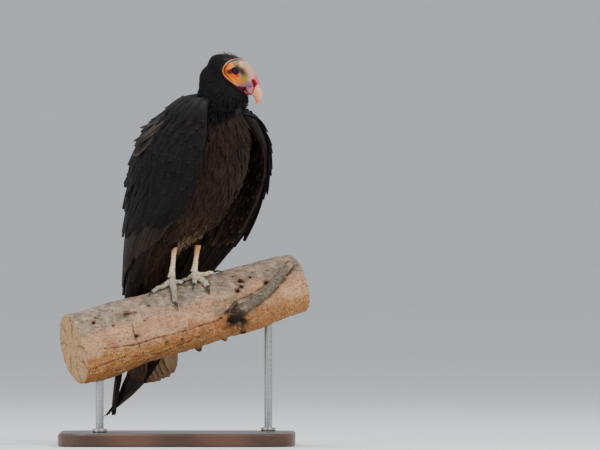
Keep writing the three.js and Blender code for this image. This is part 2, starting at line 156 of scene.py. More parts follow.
def add_floor():
    """A wide round floor whose rim curves up out of sight."""
    deselect()
    bpy.ops.mesh.primitive_circle_add(vertices=128, radius=24, fill_type="NGON")
    floor = bpy.context.object
    floor.name = "floor"
    bpy.ops.object.mode_set(mode="EDIT")
    bpy.ops.mesh.select_all(action="SELECT")
    for step in range(1, FLOOR_STEPS + 1):
        lean = step / FLOOR_STEPS * math.pi / 2
        bpy.ops.mesh.extrude_edges_move(TRANSFORM_OT_translate={"value": (0, 0, 1.4 * math.sin(lean))})
        wider = 1 + 0.06 * math.cos(lean)
        bpy.ops.transform.resize(value=(wider, wider, 1), center_override=(0, 0, 0))
    bpy.ops.mesh.select_all(action="SELECT")
    bpy.ops.mesh.normals_make_consistent(inside=True)
    bpy.ops.object.mode_set(mode="OBJECT")
    bpy.ops.object.shade_smooth()
    return floor


add_camera()


# ------------------------------------------------------------------ small tools for meshes


def points_of(obj):
    flat = np.empty(len(obj.data.vertices) * 3)
    obj.data.vertices.foreach_get("co", flat)
    return flat.reshape(-1, 3) / MM


def normals_of(obj):
    flat = np.empty(len(obj.data.vertices) * 3)
    obj.data.vertices.foreach_get("normal", flat)
    return flat.reshape(-1, 3)


def set_points(obj, points):
    obj.data.vertices.foreach_set("co", (points * MM).ravel())
    obj.data.update()


def paint(obj, name, colours):
    layer = obj.data.color_attributes.new(name=name, type="FLOAT_COLOR", domain="POINT")
    full = np.ones((len(colours), 4))
    full[:, :3] = colours
    layer.data.foreach_set("color", full.ravel())


def mark(obj, name, values):
    layer = obj.data.attributes.new(name=name, type="FLOAT", domain="POINT")
    layer.data.foreach_set("value", np.asarray(values, float))


def activate(obj):
    deselect()
    obj.select_set(True)
    bpy.context.view_layer.objects.active = obj


def new_object(name, verts, faces):
    mesh = bpy.data.meshes.new(name)
    mesh.from_pydata([tuple(v) for v in np.asarray(verts) * MM], [], faces)
    mesh.update()
    obj = bpy.data.objects.new(name, mesh)
    bpy.context.collection.objects.link(obj)
    return obj


def join(*objects):
    """Fuse the objects into the first of them."""
    deselect()
    for obj in objects:
        obj.select_set(True)
    bpy.context.view_layer.objects.active = objects[0]
    bpy.ops.object.join()


def apply_modifier(obj, kind, **settings):
    activate(obj)
    tool = obj.modifiers.new(kind.lower(), kind)
    for key, value in settings.items():
        setattr(tool, key, value)
    bpy.ops.object.modifier_apply(modifier=tool.name)


def edit_whole(tool, **settings):
    """Use one of the edit mode tools on all of the active mesh."""
    bpy.ops.object.mode_set(mode="EDIT")
    bpy.ops.mesh.select_all(action="SELECT")
    tool(**settings)
    bpy.ops.object.mode_set(mode="OBJECT")


def edit_points(obj, chosen, tool, **settings):
    """Use one of the edit mode tools on the chosen points of the active mesh."""
    bpy.ops.object.mode_set(mode="EDIT")
    bpy.ops.mesh.select_all(action="DESELECT")
    bpy.ops.object.mode_set(mode="OBJECT")
    obj.data.vertices.foreach_set("select", np.asarray(chosen, bool))
    bpy.ops.object.mode_set(mode="EDIT")
    tool(**settings)
    bpy.ops.object.mode_set(mode="OBJECT")


def copy_of(name, *nodes):
    """One loose copy of the CAD nodes, with its doubled points merged."""
    copies = []
    for node in nodes:
        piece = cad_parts[node].copy()
        piece.data = piece.data.copy()
        bpy.context.collection.objects.link(piece)
        copies.append(piece)
    made = copies[0]
    if len(copies) > 1:
        join(*copies)
    made.name = name
    made.data.name = name
    world = made.matrix_world.copy()
    made.parent = None
    made.matrix_world = world
    activate(made)
    bpy.ops.object.transform_apply(location=True, rotation=True, scale=True)
    edit_whole(bpy.ops.mesh.remove_doubles, threshold=1e-6)
    made.data.materials.clear()
    return made


def smoothed_copy(name, nodes, voxel, rounds):
    """The CAD nodes as one fine even mesh with their facets melted away. The voxel is in millimetres."""
    made = copy_of(name, *nodes)
    apply_modifier(made, "REMESH", mode="VOXEL", voxel_size=voxel * MM, use_smooth_shade=True)
    apply_modifier(made, "SMOOTH", factor=0.5, iterations=rounds)
    return made


def soft_shade(obj):
    activate(obj)
    bpy.ops.object.shade_smooth()


def finish_piece(obj, slot, material, *nodes):
    obj.data.materials.clear()
    obj.data.materials.append(material)
    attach(obj, "root")
    if nodes:
        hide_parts(*nodes)


# ------------------------------------------------------------------ materials


def rgb(red, green, blue):
    """A colour as seen on a screen, 0 to 255, turned into the linear one that shaders take."""
    seen = np.array([red, green, blue]) / 255
    return tuple(np.where(seen <= 0.04045, seen / 12.92, ((seen + 0.055) / 1.055) ** 2.4))


class Recipe:
    """A material and short ways to add its nodes."""

    def __init__(self, name, **settings):
        self.material = bpy.data.materials.new(name)
        self.material.use_nodes = True
        self.tree = self.material.node_tree
        self.shader = self.tree.nodes["Principled BSDF"]
        for key, value in settings.items():
            self.shader.inputs[key.replace("_", " ")].default_value = value

    def node(self, kind, inputs=None, **settings):
        made = self.tree.nodes.new(kind)
        for key, value in settings.items():
            setattr(made, key, value)
        for key, value in (inputs or {}).items():
            if isinstance(value, bpy.types.NodeSocket):
                self.tree.links.new(value, made.inputs[key])
            else:
                made.inputs[key].default_value = value
        return made

    def where(self, scale=(1, 1, 1), turn=(0, 0, 0)):
        spot = self.node("ShaderNodeTexCoord").outputs["Object"]
        places = {"Vector": spot, "Scale": scale, "Rotation": turn}
        return self.node("ShaderNodeMapping", places).outputs["Vector"]

    def painted(self):
        return self.node("ShaderNodeVertexColor", layer_name="paint").outputs["Color"]

    def marked(self, name):
        return self.node("ShaderNodeAttribute", attribute_name=name).outputs["Fac"]

    def clouds(self, vector, scale, detail=4, rough=0.6):
        spec = {"Vector": vector, "Scale": scale, "Detail": detail, "Roughness": rough}
        return self.node("ShaderNodeTexNoise", spec).outputs["Fac"]

    def cells(self, vector, scale):
        return self.node("ShaderNodeTexVoronoi", {"Vector": vector, "Scale": scale}).outputs["Distance"]

    def maths(self, kind, a, b=0.0):
        return self.node("ShaderNodeMath", {0: a, 1: b}, operation=kind).outputs[0]

    def times(self, a, b):
        return self.maths("MULTIPLY", a, b)

    def plus(self, a, b):
        return self.maths("ADD", a, b)

    def minus(self, a, b):
        return self.maths("SUBTRACT", a, b)

    def band(self, value, low, high, start=0.0, end=1.0):
        spec = {"Value": value, "From Min": low, "From Max": high, "To Min": start, "To Max": end}
        return self.node("ShaderNodeMapRange", spec, interpolation_type="SMOOTHSTEP").outputs["Result"]

    def mix(self, amount, a, b, kind="MIX"):
        made = self.tree.nodes.new("ShaderNodeMix")
        made.data_type = "RGBA"
        made.blend_type = kind
        for socket, value in ((made.inputs[0], amount), (made.inputs[6], a), (made.inputs[7], b)):
            if isinstance(value, bpy.types.NodeSocket):
                self.tree.links.new(value, socket)
            elif isinstance(value, tuple):
                socket.default_value = (*value, 1)
            else:
                socket.default_value = value
        return made.outputs[2]

    def relief(self, height, strength, distance, below=None):
        spec = {"Height": height, "Strength": strength, "Distance": distance}
        if below is not None:
            spec["Normal"] = below
        return self.node("ShaderNodeBump", spec).outputs["Normal"]

    def set(self, **links):
        for key, value in links.items():
            self.tree.links.new(value, self.shader.inputs[key.replace("_", " ")])
        return self.material


# Each kind of plumage: its dark, light, edge and shaft colours, then how many barbs it shows, how pale its
# edges are, its gloss and how strongly the barbs streak it.
PLUMAGE = {
    "hood_velvet": ((9, 9, 10), (24, 23, 24), (34, 31, 30), (8, 8, 9), 10, 0.3, 0.08, 0.3),
    "vent_down": ((70, 54, 42), (148, 122, 94), (190, 162, 126), (104, 84, 64), 12, 0.6, 0.08, 0.3),
    "ruffled_scapulars": ((20, 17, 16), (58, 49, 44), (112, 95, 82), (18, 15, 15), 60, 0.55, 0.1, 0.3),
    "wing_lining": ((13, 11, 10), (46, 35, 28), (112, 86, 64), (16, 13, 12), 60, 0.55, 0.08, 0.3),
    "breast_plumes": ((20, 14, 12), (50, 35, 28), (76, 55, 42), (15, 11, 11), 24, 0.5, 0.08, 0.3),
    "belly_plumes": ((24, 16, 13), (62, 44, 34), (110, 86, 64), (34, 25, 21), 20, 0.6, 0.08, 0.3),
    "crown_down": ((32, 24, 22), (98, 76, 64), (132, 104, 88), (54, 41, 36), 8, 0.4, 0.12, 0.3),
    "wing_coverts": ((8, 7, 8), (23, 20, 21), (52, 43, 38), (7, 6, 7), 70, 0.34, 0.1, 0.3),
    "flight_feathers": ((12, 10, 10), (45, 37, 33), (86, 69, 56), (54, 43, 37), 150, 0.5, 0.12, 0.3),
    "tail_feathers": ((18, 17, 20), (188, 154, 120), (44, 35, 30), (150, 124, 98), 90, 0.4, 0.15, 0.07),
}
SHAFT_WIDTH = 0.022


def feather_material(name, dark, light, edge, shaft, barbs, edging, gloss, streak):
    """Plumage: barbs slant off a shaft, the margin is paler and each feather has its own tone."""
    dark, light, edge, shaft = (rgb(*colour) for colour in (dark, light, edge, shaft))
    sheen = {"Sheen_Weight": 0.02, "Sheen_Roughness": 0.5}
    made = Recipe(name, Roughness=0.7 - gloss, Specular_IOR_Level=gloss, **sheen)
    vane = made.node("ShaderNodeUVMap", uv_map="vane").outputs["UV"]
    vane_axes = made.node("ShaderNodeSeparateXYZ", {"Vector": vane}).outputs
    aside = made.maths("ABSOLUTE", made.minus(vane_axes["X"], 0.5))
    tip = vane_axes["Y"]
    patchy = made.clouds(made.where(), 70, 3)
    shade = made.plus(made.times(made.marked("tone"), 0.65), made.times(patchy, 0.35))
    colour = made.mix(made.band(shade, 0.15, 0.85), dark, light)
    slant = made.minus(made.times(tip, barbs), made.times(aside, barbs * 0.5))
    wobble = made.clouds(vane, 5, 2)
    barb = made.maths("SINE", made.plus(slant, made.times(wobble, 9)))
    colour = made.mix(made.band(barb, -1, 1, 0, streak), colour, light)
    rim = made.maths("MAXIMUM", made.band(aside, 0.33, 0.5), made.band(tip, 0.86, 1.0))
    worn = made.times(rim, made.band(patchy, 0.3, 0.75, 0.3, 1))
    colour = made.mix(made.times(worn, edging), colour, edge)
    colour = made.mix(made.band(aside, SHAFT_WIDTH, SHAFT_WIDTH * 0.4), colour, shaft)
    return made.set(Base_Color=colour, Normal=made.relief(barb, 0.35, 0.0006))


# ------------------------------------------------------------------ feather shapes


class Feather:
    """One feather a unit long and a unit wide, pointing along +Y, kept as arrays to copy from."""

    def __init__(self, columns, widths, cup, ragged=0.0, twin=False):
        self.rows = len(widths) - 1
        self.twin = twin
        self.row = np.repeat(np.arange(self.rows + 1), columns + 1)
        column = np.tile(np.arange(columns + 1), self.rows + 1)
        deselect()
        cuts = {"x_subdivisions": columns, "y_subdivisions": self.rows}
        bpy.ops.mesh.primitive_grid_add(size=1, location=(0, 0.5, 0), **cuts)
        sheet = bpy.context.object
        bpy.ops.object.transform_apply(location=True)
        resize, translate = bpy.ops.transform.resize, bpy.ops.transform.translate
        for row, width in enumerate(widths):
            tooth = 1 + ragged * (1 if row % 2 else -1) if 0 < row < self.rows else 1
            middle = (0, row / self.rows, 0)
            edit_points(sheet, self.row == row, resize, value=(width * tooth, 1, 1), center_override=middle)
        for number in range(1, columns):
            raised = 0.5 - abs(number / columns - 0.5)
            edit_points(sheet, column == number, translate, value=(0, 0, 2 * cup * raised))
        top = points_of(sheet) * MM
        bpy.data.objects.remove(sheet)
        self.vane = np.stack([np.linspace(0, 1, columns + 1)[column], self.row / self.rows], -1)
        grid = np.arange(len(top)).reshape(self.rows + 1, columns + 1)
        self.faces = quads_of(grid)
        if twin:
            self.faces = np.vstack([self.faces, self.faces[:, ::-1] + len(top), rim_of(grid)])
            top = np.vstack([top, top - (0, 0, TWIN_GAP)])
            self.row = np.tile(self.row, 2)
            self.vane = np.vstack([self.vane, self.vane])
        self.x, self.y, self.z = top.T


def quads_of(grid):
    """The faces of a sheet of points, given as rows of their numbers."""
    corners = [grid[:-1, :-1], grid[:-1, 1:], grid[1:, 1:], grid[1:, :-1]]
    return np.stack(corners, -1).reshape(-1, 4)


def rim_of(grid):
    """The faces that join a sheet's edge to that of a second sheet numbered straight after it."""
    edge = np.concatenate([grid[0, :], grid[1:, -1], grid[-1, -2::-1], grid[-2:0:-1, 0]])
    after = np.roll(edge, -1)
    return np.stack([edge, edge + grid.size, after + grid.size, after], 1)


def joined_copies(name, shape, points, tones, patches, patch_size):
    """Copies of one feather as a single mesh. points is every copy's vertices, in millimetres."""
    count, size = points.shape[:2]
    faces = (shape.faces[None] + (np.arange(count) * size)[:, None, None]).reshape(-1, 4)
    mesh = bpy.data.meshes.new(name)
    mesh.vertices.add(count * size)
    mesh.vertices.foreach_set("co", (points * MM).ravel())
    mesh.loops.add(faces.size)
    mesh.loops.foreach_set("vertex_index", faces.ravel().astype(np.int32))
    mesh.polygons.add(len(faces))
    mesh.polygons.foreach_set("loop_start", np.arange(0, faces.size, 4, dtype=np.int32))
    mesh.update(calc_edges=True)
    vane = np.tile(shape.vane, (count, 1))
    bake = patches[:, None] + (shape.vane[None] - 0.5) * np.asarray(patch_size)
    for layer, values in (("OFBake", bake.reshape(-1, 2)), ("vane", vane)):
        uv = mesh.uv_layers.new(name=layer)
        uv.data.foreach_set("uv", values[faces.ravel()].ravel())
    obj = bpy.data.objects.new(name, mesh)
    bpy.context.collection.objects.link(obj)
    mark(obj, "tone", tones if len(tones) == count * size else np.repeat(tones, size))
    mesh.polygons.foreach_set("use_smooth", np.ones(len(faces), bool))
    mesh.update()
    return obj


def sheet_cells(count):
    """Room for each large feather on its own part of the map: centres, and the size of each."""
    columns = math.ceil(math.sqrt(count))
    rows = math.ceil(count / columns)
    i = np.arange(count)
    centres = np.stack([(i % columns + 0.5) / columns, (i // columns + 0.5) / rows], -1)
    return centres, (0.9 / columns, 0.9 / rows)


TWIN_GAP = 0.022  # between the two faces of a large feather
SPECK = (0.003, 0.003)  # the room on the map of each small feather
tuft = Feather(2, [0.8, 1, 0.6, 0.12], 0.12, ragged=0.1)
strand = Feather(2, [0.4, 0.85, 1, 0.95, 0.78, 0.5, 0.1], 0.16, ragged=0.08)
wisp = Feather(2, [0.6, 1, 0.9, 0.7, 0.45, 0.1], 0.14, ragged=0.3)
covert = Feather(6, [0.4, 0.82, 0.97, 1, 1, 0.95, 0.84, 0.62, 0.3], 0.12)
quill = Feather(8, [0.3, 0.62, 0.85, 0.96, 1, 1, 1, 1, 0.98, 0.95, 0.9, 0.8, 0.6, 0.22], 0.1, twin=True)
blade = Feather(8, [0.3, 0.6, 0.8, 0.9, 0.96, 1, 1, 0.99, 0.95, 0.89, 0.81, 0.71, 0.56, 0.2], 0.1, twin=True)


# ------------------------------------------------------------------ wings
WING_ROWS = ("leading", "crown", "trailing")
WING_STEP = 0.01  # the first part of the way down the wing, which sets how it runs on above the wrist
FOLD_DEPTH = 0.9
NARROWEST = 12  # the least width of wing, in millimetres, that feathers are laid out by
PAST_REAR = 2.5  # how far feathers may pass the rear edge
WING_STATIONS = {  # down the wing from wrist to tip: forward, out to the side and up from the perch
    "right": {
        "leading": [
            (92, 50, 238), (102, 65, 186), (78, 68, 116), (8, 51, 55), (-62, 21, -18), (-112, 11, -120),
            (-134, 5, -188),
        ],
        "crown": [
            (46, 76, 252), (22, 126, 190), (4, 126, 124), (-36, 100, 58), (-78, 56, -18), (-116, 22, -112),
            (-135, 9, -176),
        ],
        "trailing": [
            (22, 22, 252), (-54, 18, 196), (-88, 15, 122), (-97, 13, 56), (-103, 11, -18), (-124, 7, -116),
            (-138, 3, -184),
        ],
    },
    "left": {
        "leading": [
            (87, 56, 227), (98, 68, 186), (82, 74, 116), (48, 70, 55), (-22, 61, -18), (-78, 24, -130),
            (-144, 5, -186),
        ],
        "crown": [
            (46, 84, 240), (22, 130, 186), (6, 128, 120), (-14, 112, 58), (-52, 88, -18), (-96, 40, -104),
            (-145, 8, -180),
        ],
        "trailing": [
            (22, 22, 248), (-54, 18, 194), (-88, 15, 122), (-97, 13, 56), (-103, 11, -18), (-122, 7, -96),
            (-147, 3, -184),
        ],
    },
}


class Wing:
    """A folded wing's outer surface: s runs down it from wrist to tip, t back from its leading edge."""

    def __init__(self, side, stations):
        self.side = side
        rows = [np.array(stations[name]) * (1, side, 1) for name in WING_ROWS]
        self.curves = [spline(bird.at(*row.T)) for row in rows]

    def middle(self, s, t):
        """The surface point. Above the wrist, where s is under 0, the surface runs straight on."""
        held = np.clip(s, WING_STEP, 1)
        over = ((np.asarray(s) - held) / WING_STEP)[..., None]
        t = np.asarray(t)[..., None]
        onward = self.blended(held + WING_STEP / 2, t) - self.blended(held - WING_STEP / 2, t)
        return self.blended(held, t) + over * onward

    def blended(self, s, t):
        lead, crown, trail = (curve(s) for curve in self.curves)
        return lead * (1 - t) ** 2 + crown * 2 * t * (1 - t) + trail * t * t

    def frame(self, s, t):
        """The surface point, the way out there, and the millimetres to one whole t."""
        s, t = np.broadcast_arrays(s, t)
        step = 0.008
        down = self.middle(s + step, t) - self.middle(s - step, t)
        back = (self.middle(s, t + step) - self.middle(s, t - step)) / (2 * step)
        out = unit(np.cross(down, back)) * self.side
        return self.middle(s, t), out, np.linalg.norm(back, axis=-1)


wings = {name: Wing(SIDES[name], stations) for name, stations in WING_STATIONS.items()}


def wing_lining(s):
    """How deep the wing's dark core starts and ends under the feathered surface."""
    start = 3.4 + 4.2 * smooth(0.26, 0.4, s) + 13 * np.clip((0.03 - s) / 0.06, 0, 1) ** 2
    return start, start + 2.0 + 14 * np.clip(1 - s / 0.26, 0, 1) * smooth(-0.06, 0.03, s)


def wing_folds(s, t):
    """Soft lengthwise furrows in the folded wing: from -1 on a ridge to 1 in a furrow."""
    wave = np.sin(2 * math.pi * (3.6 * t + 0.55 * np.sin(4.2 * s + 1)) + 1.5 * np.sin(9 * s))
    return wave * smooth(0.0, 0.1, s) * smooth(0.5, 0.3, s) * smooth(0, 0.12, t) * smooth(1, 0.88, t)


def lay_on_wing(
    wing, shape, root, tip, width, depth, slope=0.0, lift=0.0, curl=1, under=False, over=0.3
):
    """Vertices of feathers laid on the wing from root to tip, both (s, t) places.

    depth is how far they lie under the surface at root and tip, slope sinks their rear edges,
    lift raises their tips and curl rounds them over the wrist. Those under the wing lie on its lining.
    over is how far they may pass its leading edge.
    """
    x, y, z = shape.x[None], shape.y[None], shape.z[None]
    s = root[0][:, None] + (tip[0] - root[0])[:, None] * y
    t = root[1][:, None] + (tip[1] - root[1])[:, None] * y
    wide = width[:, None]
    reach = x * wide
    span = np.maximum(wing.frame(s, np.clip(t, 0.02, 0.98))[-1], NARROWEST)
    t = np.clip(t + reach / span, -over / span, 1 + PAST_REAR / span)
    place, out, _ = wing.frame(s, t)
    sunk = depth[1][:, None] + (depth[0] - depth[1])[:, None] * np.clip(1 - y, 0, 1) ** curl
    sunk = sunk + FOLD_DEPTH * wing_folds(s, t)
    raised = np.broadcast_to(lift, len(width))[:, None] * y**3
    height = z * wide - sunk + raised + slope * reach
    if under:
        height = -wing_lining(s)[1] - height
    return place + out * height[..., None]


# ------------------------------------------------------------------ places on the skin


class Surface:
    """A mesh to lay things on, in millimetres, with its nearest points and smooth normals."""

    def __init__(self, obj):
        points, normals = points_of(obj), normals_of(obj)
        faces = [list(face.vertices) for face in obj.data.polygons]
        self.tree = BVHTree.FromPolygons(points.tolist(), faces)
        self.centres = np.array([points[face].mean(axis=0) for face in faces])
        self.outward = unit(np.array([normals[face].mean(axis=0) for face in faces]))

    def nearest(self, points):
        """For each point, the nearest place on the surface and the way out there."""
        places = np.empty_like(points)
        ways = np.empty_like(points)
        for i, point in enumerate(points):
            place, _, face, _ = self.tree.find_nearest(point)
            places[i] = place
            ways[i] = self.outward[face]
        return places, ways

    def scatter(self, chosen, spacing):
        """Faces among the chosen ones, no two nearer than the spacing, in a seeded random order."""
        taken = {}
        kept = []
        for face in chance.permutation(np.flatnonzero(chosen)):
            centre = self.centres[face]
            cell = tuple((centre // spacing).astype(int))
            if not self.crowded(taken, cell, centre, spacing**2):
                taken.setdefault(cell, []).append(centre)
                kept.append(face)
        return np.array(kept)

    @staticmethod
    def crowded(taken, cell, centre, near):
        for i in (-1, 0, 1):
            for j in (-1, 0, 1):
                for k in (-1, 0, 1):
                    for other in taken.get((cell[0] + i, cell[1] + j, cell[2] + k), ()):
                        gap = other - centre
                        if gap @ gap < near:
                            return True
        return False


def noise_at(points, scale, seed=0.0):
    """Smooth noise from -1 to 1 at each point. The scale is in millimetres."""
    shift = Vector((seed, seed * 1.7, -seed))
    return np.array([noise.noise(Vector(p) / scale + shift) for p in points])


CHUNK = 4000  # points dealt with at a time


def along_and_across(forward, up, centre, lean):
    """Side-view places measured along a line through the centre, leaning by that angle, and across it."""
    f, u = forward - centre[0], up - centre[1]
    along = f * math.cos(lean) + u * math.sin(lean)
    across = -f * math.sin(lean) + u * math.cos(lean)
    return along, across


def from_slot(forward, up, centre, lean, length):
    """Distance in the side view from a slot's middle line."""
    along, across = along_and_across(forward, up, centre, lean)
    return np.hypot(np.maximum(np.abs(along) - length / 2, 0), across)


def blot(forward, up, centre, size, lean=0.0, edge=0.45):
    """A soft-edged oval in the side view: 1 inside it and 0 outside."""
    along, across = along_and_across(forward, up, centre, math.radians(lean))
    return smooth(1 + edge, 1 - edge, np.hypot(along / size[0], across / size[1]))


def layered(base, layers):
    """Colours laid one over another: each layer is a colour and how much of it shows at each point."""
    colours = np.broadcast_to(rgb(*base), (len(layers[0][1]), 3))
    for colour, amount in layers:
        amount = np.clip(amount, 0, 1)[:, None]
        colours = colours * (1 - amount) + np.array(rgb(*colour)) * amount
    return colours


# ------------------------------------------------------------------ skin
RIM_FOLD = [  # forward, aside and up, in the head's own frame
    (-5.5, 0, 13.6), (-8.6, 7, 12.2), (-11.7, 13, 9), (-13.7, 17.2, 4), (-14.4, 19, -1.5),
    (-14.2, 19.6, -6.5), (-12.6, 19.3, -11), (-9.3, 18.2, -14.2), (-3, 16.6, -15.6), (7, 13.5, -15.9),
    (16, 10, -15.2),
]
NOSTRIL = (28.6, -0.9)
NOSTRIL_LEAN = math.radians(-31)
NOSTRIL_LENGTH = 6.5
MOUTH = (26, -14.6)
MOUTH_LENGTH = 18
LID_OPENING = (3.9, 2.1)  # half the width and half the height that the lids leave open
LID_THICKNESS = 1.1
HEAD_GRAIN = 0.55  # the size of the remeshed cells, here and below
NECK_GRAIN = 3.0
LEG_GRAIN = 0.8
HORN_GRAIN = 0.42
BARK_GRAIN = 1.7


def from_rim(points):
    """How far each head point lies from the rim fold: positive on the face, negative under the hood."""
    aside = points * (1, 0, 1) + np.abs(points) * (0, 1, 0)
    samples = spline(RIM_FOLD)(np.linspace(0, 1, 160))
    nearest = np.empty(len(points))
    signed = np.empty(len(points))
    inward = unit(np.array([2.0, EYE_ASIDE, 0.0]) - samples)
    for start in range(0, len(points), CHUNK):
        part = aside[start : start + CHUNK]
        distance = np.linalg.norm(part[:, None] - samples[None], axis=2)
        index = distance.argmin(axis=1)
        nearest[start : start + CHUNK] = distance.min(axis=1)
        signed[start : start + CHUNK] = ((part - samples[index]) * inward[index]).sum(axis=1)
    return nearest, signed


def lid_rings():
    """Two rings of lid over each eyeball, to be fused with the head."""
    made = []
    for side in SIDES.values():
        centre = skull.at(EYE_FORWARD, side * EYE_ASIDE, EYE_UP)
        deselect()
        bpy.ops.mesh.primitive_uv_sphere_add(segments=64, ring_count=40, radius=1, location=(0, 0, 0))
        ring = bpy.context.object
        x, y, z = points_of(ring).T * MM
        opening = np.hypot(x / LID_OPENING[0], y / LID_OPENING[1]) * EYE_RADIUS
        edit_points(ring, (opening < 1) | (z < -0.25), bpy.ops.mesh.delete, type="VERT")
        x, y, z = points_of(ring).T * MM
        over = skull.axes @ np.array([x, side * z, y])
        set_points(ring, centre + over.T * (EYE_RADIUS + LID_THICKNESS))
        if side > 0:
            activate(ring)
            edit_whole(bpy.ops.mesh.flip_normals)
        apply_modifier(ring, "SOLIDIFY", thickness=LID_THICKNESS * MM * 0.95, offset=-1)
        made.append(ring)
    return made


def head_relief(points):
    """How far the skin of the head rises at each point of the head's own frame."""
    forward, left, up = points.T
    aside = np.abs(left)
    nearest, signed = from_rim(points)
    face = smooth(-1, 1.5, signed)
    rise = 0.85 * bump(nearest, 0.85) * smooth(20, 14, forward)
    rise -= 0.9 * bump(signed - 1.9, 0.8) * smooth(17, 10, forward)
    rise += 0.5 * bump(signed - 3.4, 0.9) * smooth(4, -2, forward)
    rise -= 0.5 * bump(signed - 5.0, 0.8) * smooth(0, -4, forward)
    rise -= 1.6 * smooth(0.5, 3, -signed)

    eye = np.hypot(forward - EYE_FORWARD, up - EYE_UP)
    around = np.arctan2(up - EYE_UP, forward - EYE_FORWARD)
    outside = smooth(5.5, 6.5, eye) * smooth(11, 8, eye) * (aside > 5)
    rise += 0.3 * outside * np.cos((eye - 6.4) * 2.9 + 0.8 * np.sin(3 * around))
    brow = bump(up - 7.4 - 0.12 * forward, 1.7) * smooth(-9, -4, forward) * smooth(13, 7, forward)
    rise += 1.1 * brow * face
    rise -= 0.7 * bump(up - 4.4, 1.4) * bump(forward - 1.5, 4.5) * (aside > 8)
    lore = bump(forward - 10.5, 5) * bump(up - 3.4 + 0.25 * (forward - 10), 2.6)
    rise -= 1.3 * lore * (aside > 4)
    corner = bump(from_slot(forward, up, (-3.4, -5.8), math.radians(50), 5), 1.1)
    rise -= 0.8 * corner * (aside > 8)

    slope = up + 0.35 * forward
    cheek = smooth(-17, -13, up) * smooth(-2.5, -5.5, slope + 2) * smooth(20, 12, forward) * face
    folds = np.sin(slope * 2.3 + 1.2 * np.sin(forward * 0.35) + 0.3 * left)
    rise += 0.32 * cheek * folds
    nape = smooth(-6, -9, forward) * face * smooth(-8, -4, up)
    rise += 0.3 * nape * np.sin(forward * 2.2 + 0.5 * up)
    crown = smooth(6, 10, up + 0.3 * forward) * smooth(-6, -2, forward) * smooth(34, 26, forward)
    rise += 0.16 * crown * np.sin(forward * 1.9 + 1.5 * np.sin(left * 0.4))

    mouth = from_slot(forward, up, MOUTH, math.radians(2), MOUTH_LENGTH)
    rise -= 0.5 * bump(mouth, 0.6) * (aside > 3)
    rise += 0.3 * bump(mouth - 2, 1.0) * (aside > 3)
    slot = from_slot(forward, up, NOSTRIL, NOSTRIL_LEAN, NOSTRIL_LENGTH)
    rise += 0.7 * bump(slot - 3.1, 1.1) * (aside > 2)
    rise += 0.35 * bump(forward - 33.5, 1.4)

    rise += 0.16 * noise_at(points, 1.6) * face
    rise += 0.3 * noise_at(points, 5, 3.1)
    return rise, nearest, signed


def lip_drop(points):
    """Points of the head's own frame with the edge of the upper jaw drawn down over the lower."""
    forward, left, up = points.T
    return np.stack([forward, left, up - 2.8 * bump(forward - 30, 8) * smooth(-8, -12.5, up)], 1)


def make_head_skin():
    """The head with its lids fused on, then folded and wrinkled."""
    head = copy_of("skin_head", "head")
    join(head, *lid_rings())
    apply_modifier(head, "REMESH", mode="VOXEL", voxel_size=HEAD_GRAIN * MM, use_smooth_shade=True)
    apply_modifier(head, "SMOOTH", factor=0.5, iterations=3)
    points = points_of(head)
    local = skull.back(points)
    rise, nearest, signed = head_relief(local)
    lifted = skull.back(points + normals_of(head) * rise[:, None])
    set_points(head, skull.at(*lip_drop(lifted).T))
    apply_modifier(head, "SMOOTH", factor=0.5, iterations=1)
    paint(head, "paint", head_colours(local, nearest, signed))
    return head


